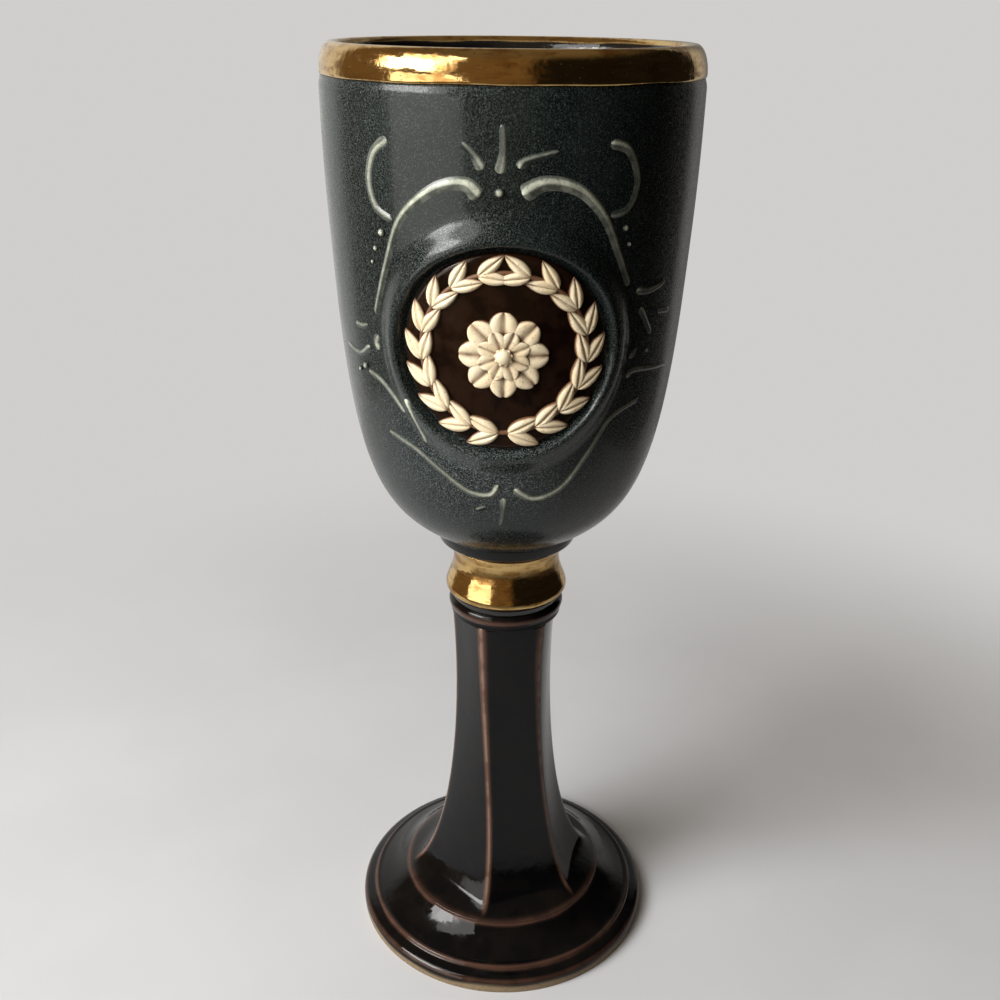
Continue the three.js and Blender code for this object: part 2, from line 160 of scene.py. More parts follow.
def ease(value, low, high):
    """A smooth step from 0 at low to 1 at high."""
    share = np.clip((np.asarray(value) - low) / (high - low), 0, 1)
    return share * share * (3 - 2 * share)


def wave(angles, phase):
    """A slow uneven wave round a rim, between about -1 and 1, as a brush or a dip leaves it."""
    swings = ((3, 1.0), (7, 2.1), (13, 3.7))
    return sum(np.sin(count * angles + shift * phase) for count, shift in swings) / len(swings)


class Flow:
    """A node's output, which plain arithmetic can go on from."""

    def __init__(self, tree, socket):
        self.tree = tree
        self.socket = socket

    def __add__(self, other):
        return calc("ADD", self, other)

    def __sub__(self, other):
        return calc("SUBTRACT", self, other)

    def __rsub__(self, other):
        return calc("SUBTRACT", other, self)

    def __mul__(self, other):
        return calc("MULTIPLY", self, other)

    def __truediv__(self, other):
        return calc("DIVIDE", self, other)

    def __rtruediv__(self, other):
        return calc("DIVIDE", other, self)


def node(tree, kind, inputs=None, **settings):
    """A node in a tree. Its inputs, by name or number, take plain values or other nodes' outputs."""
    made = tree.nodes.new(kind)
    for setting, value in settings.items():
        setattr(made, setting, value)
    for key, source in (inputs or {}).items():
        if isinstance(source, Flow):
            tree.links.new(source.socket, made.inputs[key])
        else:
            made.inputs[key].default_value = source
    return made


def flow(tree, kind, inputs=None, output=0, **settings):
    """One output of a new node, by name or number."""
    return Flow(tree, node(tree, kind, inputs, **settings).outputs[output])


def flows(tree, kind, inputs=None, **settings):
    """All outputs of a new node, by name."""
    return {socket.name: Flow(tree, socket) for socket in node(tree, kind, inputs, **settings).outputs}


def calc(operation, *sources):
    """One sum on outputs and plain numbers."""
    tree = next(source.tree for source in sources if isinstance(source, Flow))
    return flow(tree, "ShaderNodeMath", dict(enumerate(sources)), operation=operation)


def spread(value, low, high, first=0.0, last=1.0):
    """A value carried smoothly from first at low to last at high."""
    ends = {0: value, 1: low, 2: high, 3: first, 4: last}
    return flow(value.tree, "ShaderNodeMapRange", ends, interpolation_type="SMOOTHSTEP")


def between(share, first, last):
    """A number between two, by a share from 0 to 1."""
    return spread(share, 0.0, 1.0, first, last)


def mixed(share, first, second):
    """A colour between two, by a share from 0 to 1."""
    return flow(share.tree, "ShaderNodeMix", {0: share, 6: first, 7: second}, output=2, data_type="RGBA")


def marked(tree, name):
    """The number that a piece keeps at each point."""
    return flow(tree, "ShaderNodeAttribute", output="Fac", attribute_name=name)


def own_place(tree):
    """Where a point lies in the chalice's own space."""
    return flow(tree, "ShaderNodeTexCoord", output="Object")


def grain(place, size, detail):
    """Soft noise whose lumps have a size in metres."""
    return flow(place.tree, "ShaderNodeTexNoise", {"Vector": place, "Scale": 1.0 / size, "Detail": detail})


def fired_surface_group():
    """What the fire leaves on every glaze here: fine specks, drifting clouds and a slow ripple."""
    group = bpy.data.node_groups.new("fired_surface", "ShaderNodeTree")
    for size in ("Speck Size", "Cloud Size", "Ripple Size"):
        group.interface.new_socket(size, in_out="INPUT", socket_type="NodeSocketFloat")
    for mask in ("Specks", "Cloud", "Ripple"):
        group.interface.new_socket(mask, in_out="OUTPUT", socket_type="NodeSocketFloat")
    sizes = flows(group, "NodeGroupInput")
    place = own_place(group)
    node(group, "NodeGroupOutput", {
        "Specks": spread(grain(place, sizes["Speck Size"], 2.0), 0.5, 0.72),
        "Cloud": spread(grain(place, sizes["Cloud Size"], 4.0), 0.36, 0.64),
        "Ripple": grain(place, sizes["Ripple Size"], 1.0),
    })
    return group


def fired_surface(tree, speck, cloud, ripple):
    """The shared fired surface in a material, with its own sizes in millimetres."""
    sizes = {"Speck Size": speck * MM, "Cloud Size": cloud * MM, "Ripple Size": ripple * MM}
    return flows(tree, "ShaderNodeGroup", sizes, node_tree=FIRED_SURFACE)


def new_material(name):
    """An empty material: itself, its tree and its shader."""
    material = bpy.data.materials.new(name)
    material.use_nodes = True
    return material, material.node_tree, material.node_tree.nodes["Principled BSDF"]


def feed(shader, **sources):
    """Links outputs to a shader's inputs, named with underscores for spaces."""
    for name, source in sources.items():
        source.tree.links.new(source.socket, shader.inputs[name.replace("_", " ")])


def bump(height, depth):
    """A normal from a height between 0 and 1, with a depth in millimetres."""
    return flow(height.tree, "ShaderNodeBump", {"Strength": 1.0, "Distance": depth * MM, "Height": height})


FIRED_SURFACE = fired_surface_group()

TENMOKU_BLACK = (0.0016, 0.0017, 0.0021, 1)
TENMOKU_BROWN = (0.0032, 0.0027, 0.0026, 1)
RUST = (0.062, 0.031, 0.021, 1)
RUST_PALE = (0.15, 0.097, 0.073, 1)
BARE_CLAY = (0.2, 0.148, 0.09, 1)
BARE_CLAY_DARK = (0.12, 0.082, 0.048, 1)
BARE_CLAY_ROUGHNESS = 0.75
TENMOKU_GLOSS = 0.23


def tenmoku_material():
    """Gloss black glaze, rust-brown where it runs thin over an edge, and tan clay where it stops."""
    material, tree, shader = new_material("tenmoku_glaze")
    surface = fired_surface(tree, speck=0.5, cloud=5.0, ripple=2.2)
    glaze = mixed(surface["Cloud"], TENMOKU_BLACK, TENMOKU_BROWN)
    thin = marked(tree, "break") * between(surface["Cloud"], 0.78, 1.0)
    broken = mixed(spread(thin, 0.0, 0.6), glaze, RUST)
    broken = mixed(spread(thin, 0.6, 1.0), broken, RUST_PALE)
    bare = marked(tree, "bare")
    clay = mixed(surface["Specks"], BARE_CLAY, BARE_CLAY_DARK)
    gloss = between(calc("MAXIMUM", thin, surface["Cloud"]), 0.05, 0.13)
    feed(
        shader,
        Base_Color=mixed(bare, broken, clay),
        Roughness=calc("MAXIMUM", gloss, bare * BARE_CLAY_ROUGHNESS),
        Normal=bump(surface["Ripple"], 0.035),
    )
    shader.inputs["Specular IOR Level"].default_value = TENMOKU_GLOSS
    return material


TENMOKU = tenmoku_material()

foot_radius = box_mm("foot")[1].x
foot_top = box_mm("foot")[1].z
foot_shoulder = 3.5
edge_height = 3.2
rest_inner = foot_radius - 7.1
ring_radius = foot_radius - 3.6
ring_crest = 5.5
ledge_radius = foot_radius - 12.9
socket_radius = ledge_radius - 4.3
foot_roof = foot_top - 5.0
bare_height = 1.9

foot_outline = rounded([
    (rest_inner, 0.0, 0.5),
    (foot_radius - 0.1, 0.0, 0.1),
    (foot_radius, 0.9, 0.4),
    (foot_radius - 0.02, foot_shoulder, 1.8),
    (ring_radius + 0.4, ring_crest - 0.85, 0.35),
    (ring_radius, ring_crest, 0.45),
    (ring_radius - 1.1, ring_crest, 0.6),
    (ledge_radius + 3.8, foot_top - 3.4, 2.8),
    (ledge_radius, foot_top, 0.3),
    (socket_radius, foot_top, 0.1),
    (socket_radius, foot_roof, 0.1),
    (ledge_radius, foot_roof, 1.5),
], step=0.4)
foot = turned("foot_dish", foot_outline, evenly(256))

foot_points = coordinates(foot)
foot_angles, foot_reach = round_axis(foot_points)
foot_height = foot_points[:, 2]
on_top = foot_height > foot_shoulder
ring_break = hump(foot_reach - ring_radius, 0.6 + 0.15 * wave(foot_angles, 0.4)) * on_top
ledge_break = hump(foot_reach - ledge_radius, 0.5 + 0.2 * wave(foot_angles, 1.9)) * on_top
edge_break = hump(foot_height - edge_height, 0.6) * (foot_reach > foot_radius - 1)
# The rust is strongest a little to the left of the front and weakest at the back on the right
rust_side_share = 0.55 + 0.45 * np.cos(foot_angles + 0.35)
ring_and_ledge = np.maximum(0.58 * ring_break, 0.6 * ledge_break)
mark(foot, "break", np.maximum(rust_side_share * ring_and_ledge, 0.4 * edge_break))
bare_edge = bare_height + 0.5 * wave(foot_angles, 0.9)
mark(foot, "bare", 1 - ease(foot_height, bare_edge - 0.6, bare_edge + 0.5))
foot.data.materials.append(TENMOKU)
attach(foot, "root")
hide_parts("foot")


# Stem
# The hollow stem, thrown as a flared tube and cut into six flats with a knife while the clay was firm.
# Its skirt is luted into the foot's socket, and the glaze breaks to rust along the ridges between the flats.
def bezier(ends, steps):
    """Points of a curve from the first place to the last, drawn by the two handles between them."""
    start, first, second, end = (np.array(place) for place in ends)
    t = np.linspace(0, 1, steps + 1)[:, None]
    return start * (1 - t) ** 3 + first * 3 * t * (1 - t) ** 2 + second * 3 * t * t * (1 - t) + end * t ** 3


def new_tree(name, sizes):
    """A geometry tree with one named input for each size."""
    tree = bpy.data.node_groups.new(name, "GeometryNodeTree")
    tree.interface.new_socket("Geometry", in_out="INPUT", socket_type="NodeSocketGeometry")
    tree.interface.new_socket("Geometry", in_out="OUTPUT", socket_type="NodeSocketGeometry")
    for size, kind in sizes.items():
        tree.interface.new_socket(size, in_out="INPUT", socket_type="NodeSocket" + kind)
    return tree, flows(tree, "NodeGroupInput")


def close_tree(geometry, material):
    """Ends a geometry's tree with real meshes in one material, and gives the tree."""
    tree = geometry.tree
    real = flow(tree, "GeometryNodeRealizeInstances", {"Geometry": geometry})
    dressed = flow(tree, "GeometryNodeSetMaterial", {"Geometry": real, "Material": material})
    node(tree, "NodeGroupOutput", {"Geometry": dressed})
    return tree


def grow(piece, tree, sizes):
    """Runs a tree on a piece and keeps the plain mesh that it makes."""
    modifier = piece.modifiers.new(tree.name, "NODES")
    modifier.node_group = tree
    for item in tree.interface.items_tree:
        if item.in_out == "INPUT" and item.name in sizes:
            modifier[item.identifier] = sizes[item.name]
    evaluated = piece.evaluated_get(bpy.context.evaluated_depsgraph_get())
    grown = bpy.data.meshes.new_from_object(evaluated)
    piece.modifiers.remove(modifier)
    piece.data = grown
    grown.shade_smooth()
    return piece


def bell(distance):
    """A soft bell over a distance: 1 in its middle, fading past 1."""
    return calc("EXPONENT", distance * distance * -1.0)


def stem_flats_tree():
    """Pulls a round flared stem in to flats that run out on the ledge, and marks its ridges."""
    tree, sizes = new_tree("stem_flats", {
        "Flats": "Int", "First Ridge": "Float", "Ridge Softness": "Float", "Sway": "Float", "Skew": "Float",
        "Ledge Level": "Float", "Runout Rise": "Float", "Stem Height": "Float", "Break Reach": "Float",
    })
    place = flow(tree, "GeometryNodeInputPosition")
    x, y, z = flows(tree, "ShaderNodeSeparateXYZ", {0: place}).values()
    turn = calc("ARCTAN2", x, y * -1.0)
    rise = z - sizes["Ledge Level"]
    level = 1.0 - rise * 2.0 / sizes["Stem Height"]
    # The knife leans a little from cut to cut, one way at the foot and the other way at the top, and the
    # flats on the right are a little wider than those on the left
    lean_turn = math.radians(17)
    bend_turn = math.radians(100)
    skew_turn = math.radians(19)
    sway = calc("COSINE", turn + lean_turn) * calc("SINE", level * bend_turn) * sizes["Sway"]
    skew = calc("SINE", turn + skew_turn) * sizes["Skew"]
    cut_turn = turn - sway - skew - sizes["First Ridge"]
    half = 2 * math.pi / sizes["Flats"] * 0.5
    within = calc("WRAP", cut_turn, half, half * -1.0)
    soft = calc("SQRT", within * within + sizes["Ridge Softness"] * sizes["Ridge Softness"])
    flat_share = calc("COSINE", half) / calc("COSINE", half - soft)
    outside = flow(tree, "GeometryNodeInputNamedAttribute", {"Name": "outside"})
    depth = spread(rise, 0.0, sizes["Runout Rise"]) * outside
    share = depth * (flat_share - 1.0) + 1.0
    moved = flow(tree, "ShaderNodeCombineXYZ", {0: x * share, 1: y * share, 2: z})
    reach = calc("SQRT", x * x + y * y)
    stripe = sizes["Break Reach"] * spread(level, -1.0, 0.2, 1.7, 1.0)
    ridge = bell(within * reach / stripe) * depth
    ledge = bell(rise / sizes["Break Reach"]) * 0.4
    geometry = flow(tree, "GeometryNodeStoreNamedAttribute", {
        "Geometry": sizes["Geometry"], "Name": "break", "Value": calc("MAXIMUM", ridge, ledge) * outside,
    })
    geometry = flow(tree, "GeometryNodeSetPosition", {"Geometry": geometry, "Position": moved})
    return close_tree(geometry, TENMOKU)


bead_low = box_mm("stem_bead")[0].z
ring_low = box_mm("cup_foot_ring")[0].z
joint_gap = 0.3
stem_top_radius = 14.2
stem_wall = 5.0
stem_cap = 8.0
stem_skirt = 4.0
tenon_radius = 7.0
stem_flats = 6
stem_outside = bezier([
    (ledge_radius, foot_top),
    (14.8, foot_top + 6.2),
    (11.5, foot_top + 51.0),
    (stem_top_radius, bead_low),
], 96)
bore_top = bead_low - stem_cap
flat_depth = math.cos(math.pi / stem_flats)
stem_bore = [(r * flat_depth - stem_wall, z) for r, z in stem_outside if z < bore_top]
stem_outline = [
    (0, bore_top),
    (stem_bore[-1][0], bore_top),
    *reversed(stem_bore),
    (stem_bore[0][0], foot_top - stem_skirt),
    (socket_radius - joint_gap, foot_top - stem_skirt),
    (socket_radius - joint_gap, foot_top),
    *stem_outside,
    (tenon_radius, bead_low),
    (tenon_radius, ring_low - joint_gap),
    (0, ring_low - joint_gap),
]
stem_turns = 288
stem = turned("stem_flared", stem_outline, evenly(stem_turns))
# The bore and four corners come before the outside in the outline
outside_from = len(stem_bore) + 4
outside_rows = np.zeros(len(stem_outline) - 2)
outside_rows[outside_from:outside_from + len(stem_outside)] = 1
mark(stem, "outside", np.append(np.repeat(outside_rows, stem_turns), [0, 0]))
grow(stem, stem_flats_tree(), {
    "Flats": stem_flats,
    "First Ridge": math.radians(41),
    "Ridge Softness": math.radians(2.6),
    "Sway": math.radians(7),
    "Skew": math.radians(6.5),
    "Ledge Level": foot_top * MM,
    "Runout Rise": 3.5 * MM,
    "Stem Height": (bead_low - foot_top) * MM,
    "Break Reach": 0.62 * MM,
})
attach(stem, "root")
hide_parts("stem")


# Stem bead
# A thin roll of the same black clay at the top of the stem, left under the collar when the stem was trimmed.
# It is a ring on the stem's tenon, and the glaze breaks to brown on its lower edge.
collar_low = box_mm("gold_collar")[0].z
bead_radius = box_mm("stem_bead")[1].x
bore_radius = tenon_radius + joint_gap

bead = turned("stem_bead_roll", rounded([
    (bore_radius, bead_low, 0.1),
    (stem_top_radius - 0.1, bead_low, 0.15),
    (stem_top_radius - 0.15, bead_low + 1.3, 0.4),
    (bead_radius - 0.25, bead_low + 1.8, 0.25),
    (bead_radius + 0.05, collar_low - 1.5, 0.6),
    (bead_radius - 0.2, collar_low - 0.5, 0.4),
    (bead_radius - 0.75, collar_low, 0.15),
    (bore_radius, collar_low, 0.1),
], step=0.3), evenly(180))
bead_points = coordinates(bead)
bead_outside = round_axis(bead_points)[1] > stem_top_radius
mark(bead, "break", 0.65 * hump(bead_points[:, 2] - bead_low - 2.2, 0.9) * bead_outside)
bead.data.materials.append(TENMOKU)
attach(bead, "root")
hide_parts("stem_bead")


# Collar
# The knop between stem and cup: a round swelling under a drawn-in neck, thrown in one ring.
# It is brushed with gold lustre, a metal film that a last low fire fixes on the glaze, and its lowest edge
# is left dark.
GOLD = (0.62, 0.42, 0.17, 1)
GOLD_DEEP = (0.36, 0.19, 0.055, 1)
UNLUSTRED = (0.006, 0.0055, 0.005, 1)


def gold_material():
    """Bright gold lustre with brush streaks and pinholes, and bare glaze where the brush stopped."""
    material, tree, shader = new_material("gold_lustre")
    surface = fired_surface(tree, speck=0.55, cloud=3.2, ripple=1.8)
    brushed = flow(tree, "ShaderNodeMapping", {"Vector": own_place(tree), "Scale": (1, 1, 5)})
    streaks = spread(grain(brushed, 5.0 * MM, 4.0), 0.42, 0.6)
    worn = streaks * between(surface["Cloud"], 0.35, 1.0)
    pinholes = spread(surface["Specks"], 0.93, 0.99)
    bare = calc("MAXIMUM", marked(tree, "unlustred"), pinholes)
    feed(
        shader,
        Base_Color=mixed(bare, mixed(worn, GOLD, GOLD_DEEP), UNLUSTRED),
        Metallic=1.0 - bare,
        Roughness=between(worn, 0.08, 0.24),
        Normal=bump(surface["Ripple"], 0.065),
    )
    return material


GOLD_LUSTRE = gold_material()

collar_radius = box_mm("gold_collar")[1].x
collar_neck = 13.35
collar = turned("gold_collar_knop", rounded([
    (bore_radius, collar_low, 0.1),
    (collar_radius - 1.3, collar_low, 0.15),
    (collar_radius - 0.75, collar_low + 1.8, 0.3),
    (collar_radius + 0.25, collar_low + 2.85, 0.5),
    (collar_radius + 0.2, collar_low + 4.1, 0.5),
    (collar_radius - 0.25, collar_low + 5.3, 0.7),
    (collar_neck + 0.4, collar_low + 8.4, 0.9),
    (collar_neck, collar_low + 11.0, 1.2),
    (collar_neck + 0.2, collar_low + 13.3, 0.8),
    (collar_neck + 0.9, ring_low, 0.1),
    (bore_radius, ring_low, 0.1),
], step=0.3), evenly(192))
collar_points = coordinates(collar)
collar_stop = collar_low + 2.3
mark(collar, "unlustred", 1 - ease(collar_points[:, 2], collar_stop - 0.15, collar_stop + 0.15))
collar.data.materials.append(GOLD_LUSTRE)
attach(collar, "root")
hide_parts("gold_collar")


# Cup ring
# The dark ring that the cup stands on, with a sharp lower edge that overhangs the collar's neck.
# It is turned from the same black clay, and its middle is luted into the base of the cup.
cup_low = box_mm("cup")[0].z
cup_ring_radius = box_mm("cup_foot_ring")[1].x - 0.25

cup_ring = turned("cup_ring_flare", rounded([
    (bore_radius, ring_low, 0.1),
    (collar_neck + 0.8, ring_low, 0.1),
    (collar_neck + 1.8, ring_low + 1.0, 0.6),
    (cup_ring_radius - 0.95, ring_low + 2.0, 0.2),
    (cup_ring_radius - 0.3, cup_low - 1.1, 0.6),
    (cup_ring_radius, cup_low, 0.1),
    (bore_radius, cup_low, 0.1),
], step=0.3), evenly(192))
ring_points = coordinates(cup_ring)
mark(cup_ring, "break", 0.2 * hump(ring_points[:, 2] - ring_low - 2.0, 0.25))
cup_ring.data.materials.append(TENMOKU)
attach(cup_ring, "root")
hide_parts("cup_foot_ring")


# Cup
# The deep thrown cup, with a wall about 4 mm thick that swells a little round the clay sprig, where the wet
# clay was pressed up to seat it. Outside it has a dark teal gloss glaze with a fine speckle, which is paler
# below the sprig, partly where the glaze gathered and partly as a painted sheen of floor light, and inside a
# dark gloss glaze.
TEAL_DEEP = (0.003, 0.0052, 0.0056, 1)
TEAL_GREY = (0.0075, 0.0115, 0.0112, 1)
TEAL_SPECK = (0.036, 0.049, 0.046, 1)
# Paler speck colour below the sprig: partly glaze gathered there, partly a painted sheen of floor light
TEAL_GATHERED_SHEEN = (0.16, 0.19, 0.186, 1)
CUP_INSIDE = (0.008, 0.0065, 0.0055, 1)
CUP_INSIDE_ROUGHNESS = 0.07
TEAL_GLOSS = 0.2
TEAL_COAT = 0.24
TEAL_COAT_ROUGHNESS = 0.12


def teal_group():
    """The cup's glaze outside: dark teal that drifts to grey, with a fine speckle, paler below the sprig,
    partly where it gathers and partly as a painted sheen of floor light.
    """
    group = bpy.data.node_groups.new("teal_glaze_field", "ShaderNodeTree")
    group.interface.new_socket("Color", in_out="OUTPUT", socket_type="NodeSocketColor")
    for mask in ("Roughness", "Height"):
        group.interface.new_socket(mask, in_out="OUTPUT", socket_type="NodeSocketFloat")
    fine = fired_surface(group, speck=0.3, cloud=14.0, ripple=0.55)
    coarse = fired_surface(group, speck=0.75, cloud=5.0, ripple=4.0)
    drift = fine["Cloud"] * between(coarse["Cloud"], 0.6, 1.0)
    glaze = mixed(drift, TEAL_DEEP, TEAL_GREY)
    dense = spread(grain(own_place(group), 0.3 * MM, 2.0), 0.43, 0.68)
    specks = dense * spread(coarse["Specks"], 0.0, 0.6, 0.6, 1.0)
    # Below the sprig the specks are paler, partly gathered glaze and partly a painted sheen of floor light
    speck_colour = mixed(marked(group, "gathered_and_sheen"), TEAL_SPECK, TEAL_GATHERED_SHEEN)
    ripples = fine["Ripple"] * 0.8 + coarse["Ripple"]
    node(group, "NodeGroupOutput", {
        "Color": mixed(specks, glaze, speck_colour),
        "Roughness": between(drift, 0.1, 0.2) + specks * 0.2,
        "Height": ripples * 0.7 + specks * 0.7,
    })
    return group


TEAL_FIELD = teal_group()


def glaze_over(shader):
    """The clear gloss on top of the teal glaze, even all over."""
    shader.inputs["Specular IOR Level"].default_value = TEAL_GLOSS
    shader.inputs["Coat Weight"].default_value = TEAL_COAT
    shader.inputs["Coat Roughness"].default_value = TEAL_COAT_ROUGHNESS


def cup_material():
    """Teal glaze on the cup's outside and dark gloss glaze on its inside."""
    material, tree, shader = new_material("teal_glaze")
    field = flows(tree, "ShaderNodeGroup", node_tree=TEAL_FIELD)
    inside = marked(tree, "inside")
    feed(
        shader,
        Base_Color=mixed(inside, field["Color"], CUP_INSIDE),
        Roughness=between(inside, field["Roughness"], CUP_INSIDE_ROUGHNESS),
        Normal=bump(field["Height"], 0.07),
    )
    glaze_over(shader)
    return material


lip_low = box_mm("gold_rim_band")[0].z
mouth_radius = box_mm("cup")[1].x
cup_wall = 4.2
cup_floor = cup_low + 5.6
cup_socket_radius = 9.3
cup_socket_top = cup_low + 2.9
wall_line = bezier([
    (cup_ring_radius, cup_low),
    (31.7, cup_low + 9.3),
    (40.2, cup_low + 13.5),
    (mouth_radius, lip_low),
], 400)
# The wall fills out over its middle and draws in just under the lip
wall_fullness = 0.35
lip_draw_in = 0.45
wall_line[:, 0] += wall_fullness * ease(wall_line[:, 1], lip_low - 46, lip_low - 14)
wall_line[:, 0] -= lip_draw_in * ease(wall_line[:, 1], lip_low - 2.0, lip_low)
wall_radii, wall_heights = wall_line.T
wall_along = np.gradient(wall_line, axis=0)
wall_along /= np.linalg.norm(wall_along, axis=1)[:, None]

pad_low, pad_high = box_mm("sprig_pad")
sprig_radius = (pad_high.z - pad_low.z) / 2
sprig_z = (pad_high.z + pad_low.z) / 2
sprig_turn = math.radians(-1.5)
sprig_wall = np.interp(sprig_z, wall_heights, wall_radii)
swell_rise = 2.8
swell_crest = sprig_radius + 1.6
swell_end = sprig_radius + 8.0
groove_edge = sprig_radius + 0.5
# Where the specks are paler below the sprig, partly gathered glaze and partly a painted sheen of floor light
gathered_sheen_left = 4.0
gathered_sheen_half_width = 19.0
gathered_sheen_drop = 6.0
gathered_sheen_half_height = 11.0


def swell(across, up):
    """How far the wall stands out round the sprig: a low swelling outside a groove."""
    distance = np.hypot(across, up)
    return swell_rise * ease(distance, groove_edge, swell_crest) * ease(distance, swell_end, swell_crest)


def on_wall(across, height, lift):
    """Points on the cup's wall: across it from the sprig's middle line, at a height, and lifted off it."""
    out_r = np.interp(height, wall_heights, wall_along[:, 1])
    out_z = -np.interp(height, wall_heights, wall_along[:, 0])
    reach = np.interp(height, wall_heights, wall_radii) + swell(across, height - sprig_z) + lift * out_r
    angle = sprig_turn + across / sprig_wall
    return np.stack((reach * np.sin(angle), -reach * np.cos(angle), height + lift * out_z), axis=-1)


def move_points(piece, points):
    """Moves a piece's points to places in millimetres."""
    piece.data.vertices.foreach_set("co", (np.asarray(points) * MM).ravel())
    piece.data.update()


outside_steps = np.append(0, np.cumsum(np.linalg.norm(np.diff(wall_line, axis=0), axis=1)))
row_places = np.linspace(0, outside_steps[-1], 196)
cup_outside = np.stack([np.interp(row_places, outside_steps, side) for side in wall_line.T], axis=1)
inner_line = wall_line + cup_wall * np.stack((-wall_along[:, 1], wall_along[:, 0]), axis=1)
cup_inside = [tuple(p) for p in inner_line[::-8] if cup_floor + 1 < p[1] < lip_low]
floor_edge = cup_inside[-1][0]
cup_outline = [
    (0, cup_socket_top),
    (cup_socket_radius, cup_socket_top),
    (cup_socket_radius, cup_low),
    *(tuple(p) for p in cup_outside),
    (mouth_radius - cup_wall, lip_low),
    *cup_inside,
    (floor_edge - 0.5, cup_floor + 0.25),
    (floor_edge - 1.5, cup_floor),
    (0, cup_floor),
]
front_half = math.radians(62)
cup_angles = np.concatenate((
    np.linspace(-front_half, front_half, 206) + sprig_turn,
    np.linspace(front_half, 2 * math.pi - front_half, 120)[1:-1] + sprig_turn,
))
cup = turned("cup_thrown", cup_outline, cup_angles)
# Two corners of the base come before the outside in the outline
outside_count = (2 + len(cup_outside)) * len(cup_angles)
cup_points = coordinates(cup)
wall_part = slice(2 * len(cup_angles), outside_count)
wall_angles = round_axis(cup_points[wall_part])[0] - sprig_turn
wall_across = np.where(wall_angles > math.pi, wall_angles - 2 * math.pi, wall_angles) * sprig_wall
cup_points[wall_part] = on_wall(wall_across, cup_points[wall_part, 2], 0)
move_points(cup, cup_points)
# Paler specks below the sprig: partly gathered glaze, partly a painted sheen of floor light
gathered_and_sheen = np.zeros(len(cup_points))
gathered_sheen_across = hump(wall_across + gathered_sheen_left, gathered_sheen_half_width)
below_sprig = cup_points[wall_part, 2] - sprig_z + sprig_radius + gathered_sheen_drop
gathered_and_sheen[wall_part] = gathered_sheen_across * hump(below_sprig, gathered_sheen_half_height)
mark(cup, "gathered_and_sheen", gathered_and_sheen)
cup_is_inside = np.ones(len(cup_points))
cup_is_inside[:outside_count] = 0
mark(cup, "inside", cup_is_inside)
cup.data.materials.append(cup_material())
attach(cup, "root")
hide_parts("cup")


# Lip
# The rolled lip of the cup, brushed with the same gold lustre as the collar down to an uneven edge.
# The brush stops just over the crest inside, where the dark glaze of the cup comes up to meet it.
lip_top = box_mm("gold_rim_band")[1].z + 0.3
lip_outer = box_mm("gold_rim_band")[1].x - 0.2
lip_inner = mouth_radius - cup_wall - 0.95
lip_middle = lip_low + 0.5
lip_centre = (lip_outer + lip_inner) / 2
lip_half = (lip_outer - lip_inner) / 2
lustre_stop = lip_top - 1.1

lip_roll = [
    (lip_centre + lip_half * math.cos(turn), lip_middle + (lip_top - lip_middle) * math.sin(turn))
    for turn in np.linspace(0, math.pi, 49)
]
lip_outline = [
    (mouth_radius - 1.0, lip_low + 0.6),
    (mouth_radius - 0.35, lip_low - 0.1),
    (lip_outer - 0.12, lip_low + 0.1),
    *lip_roll,
    (lip_inner + 0.4, lip_low + 0.1),
    (mouth_radius - cup_wall + 0.3, lip_low - 0.2),
    (mouth_radius - cup_wall + 1.0, lip_low + 0.6),
]
lip = turned("gold_lip_roll", lip_outline, evenly(320))
lip_points = coordinates(lip)
lip_angles, lip_reach = round_axis(lip_points)
low_edge = (lip_reach > mouth_radius - 0.3) * (1 - ease(lip_points[:, 2], lip_low - 0.2, lip_low + 1.2))
lip_points[:, 2] += 0.3 * low_edge * wave(lip_angles, 1.3)
move_points(lip, lip_points)
stop_line = lustre_stop + 0.25 * wave(lip_angles, 2.2)
past_stop = 1 - ease(lip_points[:, 2], stop_line - 0.12, stop_line + 0.12)
mark(lip, "unlustred", (lip_reach < lip_centre) * past_stop)
lip.data.materials.append(GOLD_LUSTRE)
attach(lip, "root")
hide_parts("gold_rim_band")


# Sprig pad
# The round pad of clay pressed on the cup's front to carry the relief, under a gloss dark-brown glaze.
# Its face is dished, and its edge stands in the groove of the wall.
BROWN_DEEP = (0.004, 0.0017, 0.0011, 1)
BROWN_THIN = (0.022, 0.009, 0.0045, 1)
BROWN_GLOSS = 0.32


def brown_material():
    """Gloss dark-brown glaze, a little redder where it runs thin."""
    material, tree, shader = new_material("brown_glaze")
    surface = fired_surface(tree, speck=0.5, cloud=4.0, ripple=2.4)
    thin = calc("MAXIMUM", surface["Cloud"] * 0.5, marked(tree, "break"))
    feed(
        shader,
        Base_Color=mixed(thin, BROWN_DEEP, BROWN_THIN),
        Roughness=between(surface["Cloud"], 0.06, 0.16),
        Normal=bump(surface["Ripple"], 0.06),
    )
    shader.inputs["Specular IOR Level"].default_value = BROWN_GLOSS
    return material


def lay_on_wall(piece):
    """Lays a flat piece, drawn with Y up and Z out, on the cup's wall round the sprig's middle."""
    flat = coordinates(piece)
    move_points(piece, on_wall(flat[:, 0], sprig_z + flat[:, 1], flat[:, 2]))
    piece.data.shade_smooth()


